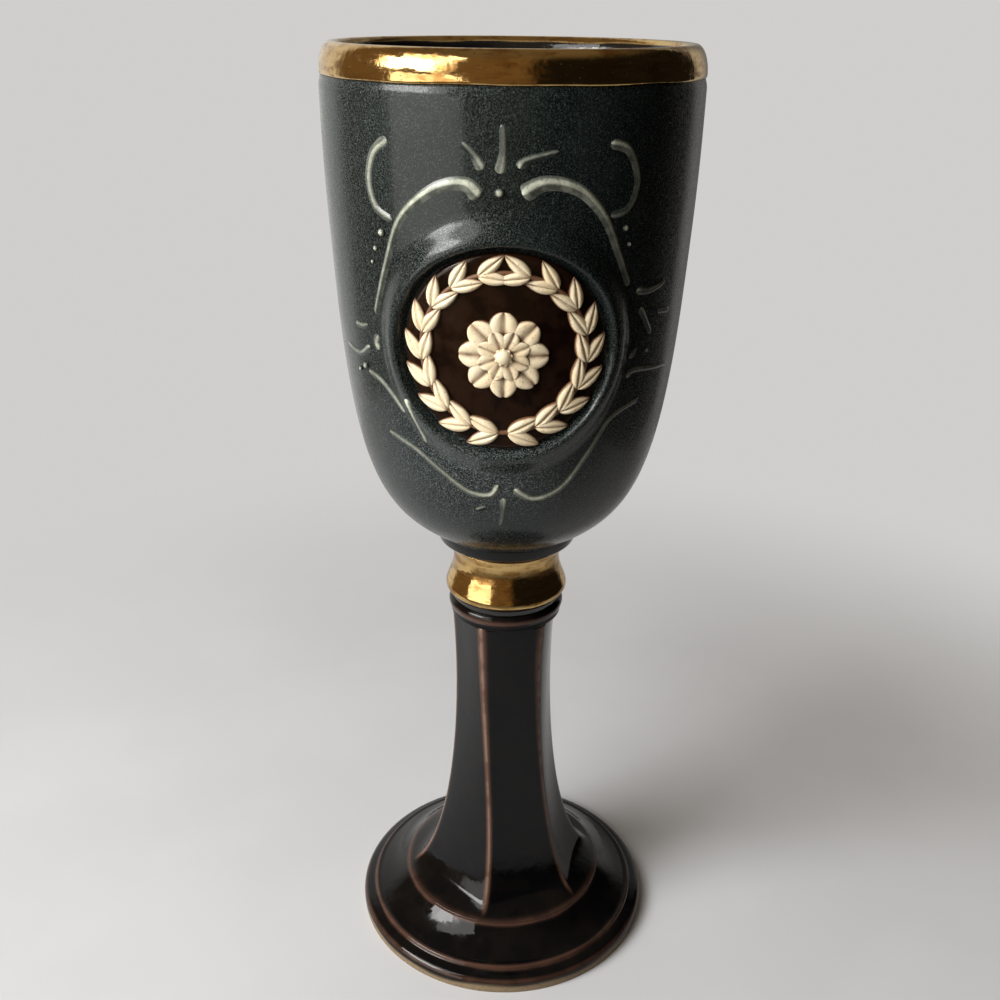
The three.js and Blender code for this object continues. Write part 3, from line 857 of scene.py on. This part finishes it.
pad_root = -0.3
pad_top = 1.1
pad_dish = 0.5
pad_face = [
    (reach, pad_top - pad_dish * (1 - (reach / sprig_radius) ** 2))
    for reach in np.linspace(sprig_radius - 1.6, 1, 24)
]
pad_outline = [
    (sprig_radius / 2, pad_root),
    (sprig_radius + 0.1, pad_root),
    (sprig_radius + 0.05, 0.4),
    (sprig_radius - 0.15, 0.85),
    (sprig_radius - 0.5, pad_top),
    (sprig_radius - 1.0, pad_top),
    *pad_face,
]
pad_turns = [(math.sin(a), math.cos(a)) for a in evenly(144)]
pad_loops = [[(reach * x, reach * y, lift) for x, y in pad_turns] for reach, lift in pad_outline]
pad = lofted("sprig_pad_dish", pad_loops, [(0, 0, pad_root), (0, 0, pad_top - pad_dish)])
pad_reach = round_axis(coordinates(pad))[1]
mark(pad, "break", 0.8 * hump(pad_reach - sprig_radius + 0.3, 0.35))
lay_on_wall(pad)
pad.data.materials.append(brown_material())
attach(pad, "root")
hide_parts("sprig_pad")


# Sprig wreath
# A wreath of pointed leaves in pairs on a thin stalk, pressed from a mould in cream clay and left unglazed.
# Brown stain stays in its hollows where the surface was wiped.
CREAM = (0.8, 0.7, 0.5, 1)
CREAM_WARM = (0.7, 0.57, 0.37, 1)
STAIN = (0.14, 0.066, 0.03, 1)
RELIEF_SIDES = np.linspace(-1, 1, 13)
RELIEF_ROOT = -0.25


def cream_material():
    """Matt cream clay with brown stain in its hollows and a few dark pits."""
    material, tree, shader = new_material("cream_clay")
    surface = fired_surface(tree, speck=0.3, cloud=3.0, ripple=0.6)
    clay = mixed(surface["Cloud"], CREAM, CREAM_WARM)
    raised = spread(marked(tree, "relief") + surface["Cloud"] * 0.16, 0.28, 0.82)
    stained = mixed(raised, STAIN, clay)
    pits = spread(surface["Specks"], 0.9, 0.99)
    feed(
        shader,
        Base_Color=mixed(pits, stained, STAIN),
        Roughness=between(surface["Cloud"], 0.42, 0.62),
        Normal=bump(surface["Ripple"], 0.04),
    )
    return material


CREAM_CLAY = cream_material()


def pressed(name, sections, ends, rise):
    """A shape from the mould along Y, over sections of half width, place along it and heights across it."""
    loops = []
    for half, along, top in sections:
        loop = [(half * side, along, lift) for side, lift in zip(RELIEF_SIDES, top)]
        loops.append(loop + [(half * 0.6, along, RELIEF_ROOT), (half * -0.6, along, RELIEF_ROOT)])
    made = lofted(name, loops, [(0, along, 0) for along in ends])
    mark(made, "relief", np.clip(coordinates(made)[:, 2] / rise, 0, 1))
    return made


def leaf(name, length, width, rise):
    """A pointed leaf with its vein sunk along the middle."""
    rolled = (1 - np.abs(RELIEF_SIDES) ** 2.6) ** 0.6 - 0.5 * hump(RELIEF_SIDES, 0.15)
    sections = []
    for share in np.linspace(0.03, 0.98, 16):
        half = width / 2 * math.sin(math.pi * share ** 0.8) ** 0.75
        high = rise * math.sin(math.pi * share ** 0.7) ** 0.5
        sections.append((half, share * length, high * rolled))
    return pressed(name, sections, (0, length), rise)


def shape_of(object_flow):
    """The geometry of an object that a tree is given."""
    return flow(object_flow.tree, "GeometryNodeObjectInfo", {"Object": object_flow}, output="Geometry")


def joined(shapes):
    """Several geometries as one."""
    tree = shapes[0].tree
    whole = node(tree, "GeometryNodeJoinGeometry")
    for shape in shapes:
        tree.links.new(shape.socket, whole.inputs[0])
    return Flow(tree, whole.outputs[0])


def set_round(points, shape, turn, size):
    """Copies of a shape on points, each turned in the plane of the sprig and sized."""
    tree = points.tree
    heading = flow(tree, "ShaderNodeCombineXYZ", {2: turn})
    turned_by = flow(tree, "FunctionNodeEulerToRotation", {0: heading})
    return flow(tree, "GeometryNodeInstanceOnPoints", {
        "Points": points, "Instance": shape, "Rotation": turned_by, "Scale": size,
    })


def wreath_tree():
    """Pairs of leaves up both sides of a ring, from the bottom to the top, with a stalk between them."""
    tree, sizes = new_tree("sprig_wreath_pairs", {
        "Leaf": "Object", "Pairs": "Int", "Radius": "Float", "Splay": "Float", "Top Size": "Float",
        "Stalk": "Float", "Lift": "Float",
    })
    share = (flow(tree, "GeometryNodeInputIndex") + 0.15) / sizes["Pairs"]
    turn = share * math.pi
    x = calc("SINE", turn) * sizes["Radius"] * -1.0
    y = calc("COSINE", turn) * sizes["Radius"] * -1.0
    spot = flow(tree, "ShaderNodeCombineXYZ", {0: x, 1: y, 2: sizes["Lift"]})
    points = flow(tree, "GeometryNodePoints", {"Count": sizes["Pairs"], "Position": spot})
    leaf_shape = shape_of(sizes["Leaf"])
    along = math.pi / 2 - turn
    size = between(share, 1.0, sizes["Top Size"])
    headings = (along + sizes["Splay"], along - sizes["Splay"])
    leaves = joined([set_round(points, leaf_shape, heading, size) for heading in headings])
    circle = "GeometryNodeCurvePrimitiveCircle"
    ring = flow(tree, circle, {"Resolution": 96, "Radius": sizes["Radius"]})
    section = flow(tree, circle, {"Resolution": 10, "Radius": sizes["Stalk"]})
    stalk = flow(tree, "GeometryNodeCurveToMesh", {"Curve": ring, "Profile Curve": section})
    height = flow(tree, "ShaderNodeCombineXYZ", {2: sizes["Lift"]})
    stalk = flow(tree, "GeometryNodeTransform", {"Geometry": stalk, "Translation": height})
    left = flow(tree, "GeometryNodeRealizeInstances", {"Geometry": leaves})
    right = flow(tree, "GeometryNodeTransform", {"Geometry": left, "Scale": (-1, 1, 1)})
    right = flow(tree, "GeometryNodeFlipFaces", {"Mesh": right})
    return close_tree(joined([left, right, stalk]), CREAM_CLAY)


def empty_piece(name):
    """A piece with no points yet, for a tree to fill."""
    return set_up(name, bpy.data.meshes.new(name))


wreath_radius = sprig_radius - 3.9
wreath_leaf = leaf("wreath_leaf", length=7.6, width=3.5, rise=1.15)
wreath = grow(empty_piece("sprig_wreath_leaves"), wreath_tree(), {
    "Leaf": wreath_leaf,
    "Pairs": 9,
    "Radius": wreath_radius * MM,
    "Splay": math.radians(24),
    "Top Size": 0.86,
    "Stalk": 0.5 * MM,
    "Lift": 0.95 * MM,
})
bpy.data.objects.remove(wreath_leaf)
lay_on_wall(wreath)
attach(wreath, "root")
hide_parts("sprig_wreath")


# Sprig rosette
# The flower in the middle of the sprig, from the same mould and clay as the wreath: eight round petals,
# eight small ones between them and a beaded eye.
def petal(name, length, width, rise):
    """A round petal from the flower's middle, with a fold along it and a rolled edge."""
    widest = 0.62
    tip = 0.39
    raised_edge = (1 - np.abs(RELIEF_SIDES) ** 4) ** 0.5 * (0.72 + 0.28 * np.abs(RELIEF_SIDES))
    folded = raised_edge - 0.35 * hump(RELIEF_SIDES, 0.2)
    sections = []
    for share in np.append(np.linspace(0.12, 0.9, 13), [0.95, 0.985]):
        bulge = math.sqrt(max(0.0, 1 - ((share - widest) / tip) ** 2)) if share > widest else 1
        half = width / 2 * bulge * (0.3 + 0.7 * float(ease(share, 0.05, widest)))
        high = rise * (0.55 + 0.45 * float(ease(share, 0.2, 0.75))) * (0.5 + 0.5 * bulge)
        sections.append((half, share * length, high * folded))
    return pressed(name, sections, (0.1 * length, length), rise)


def drop(name):
    """A low round drop of unit radius, sunk a little at its foot."""
    root = -0.3
    top = 0.8
    shape = [(1.0, root), (1.0, 0.0), (0.95, 0.22), (0.85, 0.4), (0.68, 0.58), (0.45, 0.71), (0.2, 0.78)]
    loops = [[(r * math.cos(a), r * math.sin(a), z) for a in evenly(20)] for r, z in shape]
    made = lofted(name, loops, [(0, 0, root), (0, 0, top)])
    height = np.clip(coordinates(made)[:, 2] / top, 0, 1)
    mark(made, "relief", height)
    # The drop's top is made pale by its crest mask: slip under thin glaze and also a painted highlight
    mark(made, "crest", height)
    return made


def ring_of(shape, count, reach, lift, size, offset=0.0):
    """Copies of a shape round the middle, each headed outwards."""
    tree = shape.tree
    turn = (flow(tree, "GeometryNodeInputIndex") + offset) / count * (2 * math.pi)
    x = calc("SINE", turn) * reach * -1.0
    y = calc("COSINE", turn) * reach
    spot = flow(tree, "ShaderNodeCombineXYZ", {0: x, 1: y, 2: lift})
    points = flow(tree, "GeometryNodePoints", {"Count": count, "Position": spot})
    return set_round(points, shape, turn, size)


def rosette_tree():
    """Two rings of petals and a beaded eye."""
    tree, sizes = new_tree("sprig_rosette_rings", {
        "Petal": "Object", "Drop": "Object", "Petals": "Int", "Beads": "Int", "Lift": "Float",
        "Tier": "Float", "Inner Share": "Float", "Eye Radius": "Float", "Bead Radius": "Float",
        "Bead Reach": "Float",
    })
    petal_shape = shape_of(sizes["Petal"])
    drop_shape = shape_of(sizes["Drop"])
    upper = sizes["Lift"] + sizes["Tier"]
    eye_size = sizes["Eye Radius"] / MM
    bead_size = sizes["Bead Radius"] / MM
    bead_lift = upper + sizes["Tier"]
    rings = [
        ring_of(petal_shape, sizes["Petals"], 0.0, sizes["Lift"], (1, 1, 1)),
        ring_of(petal_shape, sizes["Petals"], 0.0, upper, sizes["Inner Share"], offset=0.5),
        ring_of(drop_shape, 1, 0.0, upper, eye_size),
        ring_of(drop_shape, sizes["Beads"], sizes["Bead Reach"], bead_lift, bead_size),
    ]
    return close_tree(joined(rings), CREAM_CLAY)


rosette_radius = (box_mm("sprig_rosette")[1].z - box_mm("sprig_rosette")[0].z) / 2
rosette_petal = petal("rosette_petal", length=rosette_radius, width=6.4, rise=1.1)
round_drop = drop("round_drop")
rosette = grow(empty_piece("sprig_rosette_flower"), rosette_tree(), {
    "Petal": rosette_petal,
    "Drop": round_drop,
    "Petals": 8,
    "Beads": 9,
    "Lift": 0.55 * MM,
    "Tier": 0.55 * MM,
    "Inner Share": 0.6,
    "Eye Radius": 1.9 * MM,
    "Bead Radius": 0.42 * MM,
    "Bead Reach": 1.55 * MM,
})
bpy.data.objects.remove(rosette_petal)
lay_on_wall(rosette)
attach(rosette, "root")
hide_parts("sprig_rosette")


# Slip trails
# Lines of pale slip, trailed on the damp cup from a fine nozzle: scrolls, flames, branches and ticks round
# the sprig. The teal glaze runs off their crests, so each line is pale along its top and fades at its sides.
# The pale line is set a little to one side of the crest as a painted highlight, and a painted sheen lies
# along the other flank of the heavier lines.
# The slip's pale colour also serves as a painted highlight on the crests of the lines and the tops of the
# drops
SLIP_PALE = (0.5, 0.53, 0.43, 1)


def slip_material():
    """The cup's teal glaze over a raised line of slip, thin and pale along the crest, with a painted
    highlight beside the crest and a painted sheen on one flank.
    """
    material, tree, shader = new_material("pale_slip")
    field = flows(tree, "ShaderNodeGroup", node_tree=TEAL_FIELD)
    surface = fired_surface(tree, speck=0.45, cloud=2.2, ripple=1.2)
    heavy = spread(marked(tree, "half_width"), 0.9 * MM, 1.7 * MM)
    # The pale core is slip under thin glaze and also a painted highlight, as the crest mask is set off the
    # ridge's middle
    line = marked(tree, "crest") - surface["Specks"] * 0.12
    washed = between(heavy, 0.3, 1.0) * between(surface["Cloud"], 0.7, 1.0)
    core = calc("POWER", spread(line, 0.55, 1.0), 1.5)
    shoulder = spread(line, 0.2, 0.8, 0.0, 0.25)
    bright = calc("MAXIMUM", core, shoulder) * washed
    # A painted sheen along one flank of the heavier lines, standing in for reflected light
    flank = spread(marked(tree, "flank"), 0.2, 0.7) * (heavy * 0.3)
    clouded_flank_sheen = flank * between(surface["Cloud"], 0.4, 1.0)
    feed(
        shader,
        Base_Color=mixed(calc("MAXIMUM", bright, clouded_flank_sheen), field["Color"], SLIP_PALE),
        Roughness=field["Roughness"],
        Normal=bump(field["Height"], 0.03),
    )
    glaze_over(shader)
    return material


PALE_SLIP = slip_material()

# Widths in millimetres at both ends, then places as (across, up): 1 is the sprig's edge, and 2 is the cup's
# side, its top or its ring
TRAILS = {
    "slip_ear_left": (1.6, 1.3, [(-1.06, 1.66), (-1.15, 1.57), (-1.19, 1.39), (-1.15, 1.22), (-1.05, 1.15)]),
    "slip_ear_right": (1.6, 1.2, [(0.94, 1.66), (1.07, 1.61), (1.13, 1.42), (1.09, 1.25), (0.98, 1.21)]),
    "slip_scroll_left": (1.3, 2.6, [
        (-1.21, 0.25), (-1.1, 0.81), (-1.0, 1.17), (-0.66, 1.37), (-0.37, 1.42), (-0.23, 1.34),
    ]),
    "slip_scroll_right": (2.8, 1.3, [
        (0.15, 1.36), (0.36, 1.43), (0.66, 1.38), (0.92, 1.2), (1.05, 0.94), (1.13, 0.61),
    ]),
    "slip_flame_left": (1.0, 1.8, [(-0.38, 1.67), (-0.28, 1.6), (-0.2, 1.51)]),
    "slip_flame_middle": (1.0, 1.8, [(-0.03, 1.78), (-0.02, 1.62), (-0.05, 1.49)]),
    "slip_flame_right": (1.8, 1.0, [(0.12, 1.52), (0.18, 1.57), (0.46, 1.62)]),
    "slip_twig_right": (1.4, 1.0, [(1.19, 0.54), (1.29, 0.51), (1.42, 0.56)]),
    "slip_thorn_right": (1.4, 1.0, [(1.23, 0.35), (1.28, 0.21), (1.34, 0.05)]),
    "slip_tick_right": (1.2, 1.0, [(1.38, 0.27), (1.51, 0.23)]),
    "slip_tick_left": (1.2, 1.0, [(-1.41, 0.07), (-1.34, 0.07), (-1.29, 0.1)]),
    "slip_curl_left": (1.0, 1.4, [(-1.57, -0.22), (-1.4, -0.25), (-1.29, -0.13)]),
    "slip_leaf_left": (1.4, 1.6, [(-1.21, 0.03), (-1.23, -0.06), (-1.21, -0.13)]),
    "slip_branch_left": (1.2, 1.4, [(-1.33, -0.41), (-1.23, -0.46), (-1.13, -0.61), (-1.06, -0.75)]),
    "slip_spray_left": (2.0, 1.4, [(-1.0, -0.54), (-0.96, -0.7), (-0.88, -1.03)]),
    "slip_sweep_left": (1.2, 1.6, [
        (-1.21, -1.02), (-1.03, -1.09), (-0.77, -1.2), (-0.42, -1.34), (-0.16, -1.36), (-0.05, -1.28),
    ]),
    "slip_sweep_right": (1.6, 1.2, [
        (0.13, -1.31), (0.38, -1.39), (0.71, -1.31), (0.97, -1.09), (1.11, -0.78), (1.31, -0.65),
    ]),
    "slip_tail": (1.6, 1.0, [(0.01, -1.38), (0.0, -1.47), (-0.04, -1.61)]),
    "slip_tick_low": (1.0, 1.2, [(-0.34, -1.48), (-0.21, -1.45)]),
    "slip_branch_right": (1.4, 1.0, [(1.19, -0.37), (1.23, -0.3), (1.4, -0.34), (1.6, -0.39)]),
    "slip_leaf_right": (1.4, 1.0, [(1.19, -0.16), (1.24, -0.07)]),
}


def reach_out(share, room):
    """Millimetres from the sprig's middle for a share that is 1 at its edge and 2 at the end of the room."""
    inner = min(abs(share), 1)
    return math.copysign(inner * sprig_radius + (abs(share) - inner) * (room - sprig_radius), share)


def front_place(across, up):
    """A place on the cup's front, in millimetres across and up from the sprig's middle."""
    room_up = lip_low - sprig_z if up > 0 else sprig_z - cup_low
    return reach_out(across, math.pi / 2 * sprig_wall), reach_out(up, room_up)


def trails_tree():
    """Sweeps a soft ridge along each line of points, rounded off at its ends."""
    tree, sizes = new_tree("slip_trail_ridges", {
        "Step": "Float", "Rise": "Float", "Sink": "Float", "End Reach": "Float", "End Share": "Float",
        "Crest Highlight Offset": "Float", "Flank Sheen Offset": "Float",
    })
    lines = flow(tree, "GeometryNodeMeshToCurve", {0: sizes["Geometry"]})
    lines = flow(tree, "GeometryNodeCurveSplineType", {"Curve": lines}, spline_type="CATMULL_ROM")
    steps = {"Curve": lines, "Length": sizes["Step"]}
    lines = flow(tree, "GeometryNodeResampleCurve", steps, mode="LENGTH")
    lines = flow(tree, "GeometryNodeSetCurveNormal", {"Curve": lines}, mode="Z_UP")
    gone = flow(tree, "GeometryNodeSplineParameter", output="Length")
    whole = flow(tree, "GeometryNodeSplineLength", output="Length")
    from_end = calc("MINIMUM", gone, whole - gone)
    left = 1.0 - calc("MINIMUM", from_end / sizes["End Reach"], 1.0)
    round_end = calc("SQRT", 1.0 - left * left)
    end_width = between(round_end, sizes["End Share"], 1.0)
    half_width = flow(tree, "GeometryNodeInputNamedAttribute", {"Name": "half_width"})
    across = flow(tree, "GeometryNodeCurvePrimitiveLine", {"Start": (-1, 0, 0), "End": (1, 0, 0)})
    across = flow(tree, "GeometryNodeResampleCurve", {"Curve": across, "Count": 17})
    place = flow(tree, "GeometryNodeInputPosition")
    x = flow(tree, "ShaderNodeSeparateXYZ", {0: place})
    # The crest mask is set to one side as a painted highlight; the flank mask places a painted sheen on the
    # other side
    distances = {"crest": x + sizes["Crest Highlight Offset"], "flank": x - sizes["Flank Sheen Offset"]}
    for mask, distance in distances.items():
        height = between(calc("ABSOLUTE", distance), 1.0, 0.0)
        across = flow(tree, "GeometryNodeStoreNamedAttribute", {
            "Geometry": across, "Name": mask, "Value": height,
        })
    kept = between(calc("ABSOLUTE", x), 1.0, 0.0)
    section = flow(tree, "ShaderNodeCombineXYZ", {0: x, 1: sizes["Sink"] - kept * sizes["Rise"]})
    across = flow(tree, "GeometryNodeSetPosition", {"Geometry": across, "Position": section})
    across = flow(tree, "GeometryNodeSetSplineCyclic", {"Geometry": across, "Cyclic": True})
    swept = flow(tree, "GeometryNodeCurveToMesh", {
        "Curve": lines, "Profile Curve": across, "Scale": half_width * end_width, "Fill Caps": True,
    })
    return close_tree(swept, PALE_SLIP)


trail_spread = 1.8
trail_points = []
trail_edges = []
trail_widths = []
for first_width, last_width, places in TRAILS.values():
    start = len(trail_points)
    trail_points += [(*front_place(*spot), 0) for spot in places]
    trail_edges += [(start + i, start + i + 1) for i in range(len(places) - 1)]
    # A stroke swells close to the end where the nozzle was set down
    share = np.linspace(0, 1, len(places))
    swelling = share ** 2 if last_width > first_width else 1 - (1 - share) ** 2
    widths = first_width + (last_width - first_width) * swelling
    trail_widths += list(widths / 2 * trail_spread * MM)
trails = empty_piece("slip_trails")
trails.data.from_pydata([[c * MM for c in point] for point in trail_points], trail_edges, [])
mark(trails, "half_width", trail_widths)
grow(trails, trails_tree(), {
    "Step": 0.3 * MM,
    "Rise": 0.32,
    "Sink": 0.06,
    "End Reach": 1.5 * MM,
    "End Share": 0.3,
    "Crest Highlight Offset": 0.2,
    "Flank Sheen Offset": 0.4,
})
lay_on_wall(trails)
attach(trails, "root")
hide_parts(*TRAILS)


# Slip dots
# Single drops of the same slip, set down with the tip of the trailer beside the lines.
# Each is a low dome that settled on the wall before the glaze went on.
DOTS = {
    "slip_dot_top": (-0.05, 1.37, 1.9),
    "slip_dot_left_1": (-1.12, 1.06, 1.8),
    "slip_dot_left_2": (-1.17, 0.92, 1.3),
    "slip_dot_left_3": (-1.2, 0.78, 1.0),
    "slip_dot_right_1": (1.08, 1.12, 1.4),
    "slip_dot_right_2": (1.11, 1.01, 1.0),
    "slip_dot_low_1": (-1.42, -0.43, 1.1),
    "slip_dot_low_2": (-1.35, -0.36, 1.6),
    "slip_dot_low_3": (1.32, -0.12, 1.1),
}


def dots_tree():
    """Sets a drop of slip at each point, as wide as the point says."""
    tree, sizes = new_tree("slip_dot_drops", {"Drop": "Object"})
    width = flow(tree, "GeometryNodeInputNamedAttribute", {"Name": "half_width"})
    set_down = flow(tree, "GeometryNodeInstanceOnPoints", {
        "Points": sizes["Geometry"], "Instance": shape_of(sizes["Drop"]), "Scale": width,
    })
    return close_tree(set_down, PALE_SLIP)


dots = empty_piece("slip_dots")
dot_points = [(*front_place(across, up), 0) for across, up, width in DOTS.values()]
dots.data.from_pydata([[c * MM for c in point] for point in dot_points], [], [])
mark(dots, "half_width", [width / 2 for across, up, width in DOTS.values()])
grow(dots, dots_tree(), {"Drop": round_drop})
bpy.data.objects.remove(round_drop)
lay_on_wall(dots)
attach(dots, "root")
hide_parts(*DOTS)


# Stage
# A pale sheet under the chalice that fades into the background. In reflections it ends at an edge on the
# right and dims towards the camera, both painted shade standing for the dark room on the camera's side.
# The floor past it is there for the camera only.
BACKGROUND = (0.63, 0.62, 0.605, 1)
SHEET = (0.522, 0.53, 0.545, 1)
SHEET_SHADE = (0.502, 0.51, 0.525, 1)
# The dark colour of the painted shade that reflections and bounced light see on the sheet
SHEET_PAINTED_SHADE = (0.06, 0.058, 0.056, 1)
SHEET_ROUGHNESS = 0.8
SHEET_GLOSS = 0.1
# Distances on the floor in metres, from and to where there are two
sheet_radius = 0.35
sheet_fades = (0.12, 0.34)
sheet_dims = (0.06, 0.33)
sheet_front = (-0.1, 0.0)
sheet_edge = (0.232, 0.25)
sheet_edge_turns = 0.1
sheet_edge_slope = 0.46


def glow(tree):
    """The background's even light."""
    return flow(tree, "ShaderNodeEmission", {"Color": BACKGROUND, "Strength": 1.0})


def show(tree, surface):
    """Makes a shader the surface of a material."""
    tree.links.new(surface.socket, tree.nodes["Material Output"].inputs["Surface"])


def sheet_material():
    """Pale paper that fades into the background away from the chalice; to all rays but the camera's it is
    painted dark towards the camera and past an edge on the right, as painted shade.
    """
    material, tree, shader = new_material("pale_sheet")
    place = own_place(tree)
    distance = flow(tree, "ShaderNodeVectorMath", {0: place}, output="Value", operation="LENGTH")
    spot = flows(tree, "ShaderNodeSeparateXYZ", {0: place})
    surface = fired_surface(tree, speck=1.0, cloud=60.0, ripple=3.0)
    paper = mixed(surface["Cloud"], SHEET, SHEET_SHADE)
    seen = flow(tree, "ShaderNodeLightPath", output="Is Camera Ray")
    # Painted shade: to all rays but the camera's, the sheet turns dark towards the camera and past an edge
    # on the right
    in_front = spread(distance, *sheet_dims) * spread(spot["Y"], *sheet_front, 1.0, 0.0)
    widening = calc("MAXIMUM", spot["Y"] - sheet_edge_turns, 0.0) * sheet_edge_slope
    past_edge = spread(spot["X"] - widening, *sheet_edge)
    painted_shade = calc("MAXIMUM", in_front, past_edge) * (1.0 - seen)
    feed(shader, Base_Color=mixed(painted_shade, paper, SHEET_PAINTED_SHADE))
    shader.inputs["Roughness"].default_value = SHEET_ROUGHNESS
    shader.inputs["Specular IOR Level"].default_value = SHEET_GLOSS
    faded = spread(distance, *sheet_fades) * seen
    lit = Flow(tree, shader.outputs[0])
    show(tree, flow(tree, "ShaderNodeMixShader", {0: faded, 1: lit, 2: glow(tree)}))
    return material


def floor_ring(name, radius, hole, depth):
    """A flat ring of the floor round the chalice's axis."""
    turns = evenly(96)
    count = len(turns)
    points = [(reach * math.cos(a), reach * math.sin(a), depth) for reach in (hole, radius) for a in turns]
    faces = [(i, count + i, count + (i + 1) % count, (i + 1) % count) for i in range(count)]
    mesh = bpy.data.meshes.new(name)
    mesh.from_pydata(points, [], faces)
    made = set_up(name, mesh)
    return made


sheet = floor_ring("pale_sheet", sheet_radius, 0.0005, -0.00005)
sheet.data.materials.append(sheet_material())
far_floor = floor_ring("far_floor", 6.0, sheet_radius - 0.01, -0.0003)
far_material, far_tree = new_material("far_floor")[:2]
show(far_tree, glow(far_tree))
far_floor.data.materials.append(far_material)
for ray in ("diffuse", "glossy", "transmission", "shadow"):
    setattr(far_floor, "visible_" + ray, False)


# Room
# Soft light from the left: a window with a brighter pane, a low sill and a wide fill that reflections miss.
# The room is pale behind the chalice and dark on the camera's side, as the glaze and the lustre reflect it.
ROOM_DIM = (0.2, 0.13, 0.065, 1)
ROOM_DARK = (0.014, 0.012, 0.01, 1)
WALL_LEFT = (0.85, 0.84, 0.8, 1)
WALL_RIGHT = (0.2, 0.195, 0.185, 1)
WALL_SIDE = (0.55, 0.535, 0.505, 1)
CEILING = (0.18, 0.14, 0.095, 1)

# Each lamp's place, the point that it faces, its width and height in metres, its power and its colour
LAMPS = {
    "window": ((-0.61, -0.43, 0.65), (0, 0, 0.15), (0.51, 0.53), 3.8, (1.0, 0.995, 0.98)),
    "pane": ((-0.715, -0.35, 0.565), (0, 0, 0.15), (0.46, 0.28), 6.8, (1.0, 0.995, 0.985)),
    "sill": ((-0.455, -0.392, 0.15), (0, 0, 0.2), (0.5, 0.3), 1.25, (1.0, 0.98, 0.93)),
    "fill": ((-0.78, -0.6, 0.85), (0, 0, 0.12), (1.0, 1.0), 9.6, (1.0, 0.985, 0.965)),
}


def room_world():
    """Pale to the camera; to all else a pale wall behind, a dim room in front, darker to the right."""
    world = bpy.data.worlds.new("room")
    bpy.context.scene.world = world
    world.use_nodes = True
    tree = world.node_tree
    direction = flow(tree, "ShaderNodeTexCoord", output="Generated")
    right, behind, up = flows(tree, "ShaderNodeSeparateXYZ", {0: direction}).values()
    front = mixed(spread(right, 0.08, 0.3), ROOM_DIM, ROOM_DARK)
    back_wall = mixed(spread(right, -0.45, 0.35), WALL_LEFT, WALL_RIGHT)
    back_wall = mixed(spread(right, 0.35, 0.7), back_wall, WALL_SIDE)
    walls = mixed(spread(behind - right * 0.1, 0.5, 0.68), front, back_wall)
    room = mixed(spread(up, 0.6, 0.95), walls, CEILING)
    seen = flow(tree, "ShaderNodeLightPath", output="Is Camera Ray")
    feed(tree.nodes["Background"], Color=mixed(seen, room, BACKGROUND))


def soft_light(name, spot, aim, size, power, colour):
    """A rectangular area light, aimed at a point and not seen by the camera."""
    light = bpy.data.lights.new(name, "AREA")
    light.shape = "RECTANGLE"
    light.size, light.size_y = size
    light.energy = power
    light.color = colour
    lamp = set_up(name, light)
    heading = (Vector(aim) - Vector(spot)).to_track_quat("-Z", "Y")
    lamp.matrix_world = Matrix.Translation(spot) @ heading.to_matrix().to_4x4()
    lamp.visible_camera = False
    return lamp


room_world()
lamps = {name: soft_light(name, *values) for name, values in LAMPS.items()}
lamps["fill"].visible_glossy = False


# Camera
# Set where the photograph was taken from, a quarter of a metre in front of the chalice, level with its rim
# and looking down.
camera_place = (0, -0.256, 0.2384)
camera_pitch = math.radians(24.1)
camera_yaw = math.radians(-0.395)
camera_roll = math.radians(0.58)
sensor_width = 36.0
focal_share = 1.12
camera_data = bpy.data.cameras.new("camera")
camera_data.sensor_width = sensor_width
camera_data.lens = sensor_width * focal_share
camera_data.clip_start = 0.01
camera = set_up("camera", camera_data)
camera.matrix_world = (
    Matrix.Translation(camera_place)
    @ Matrix.Rotation(-camera_yaw, 4, "Z")
    @ Matrix.Rotation(math.pi / 2 - camera_pitch, 4, "X")
    @ Matrix.Rotation(camera_roll, 4, "Z")
)
bpy.context.scene.camera = camera
bpy.context.scene.view_settings.view_transform = "Standard"
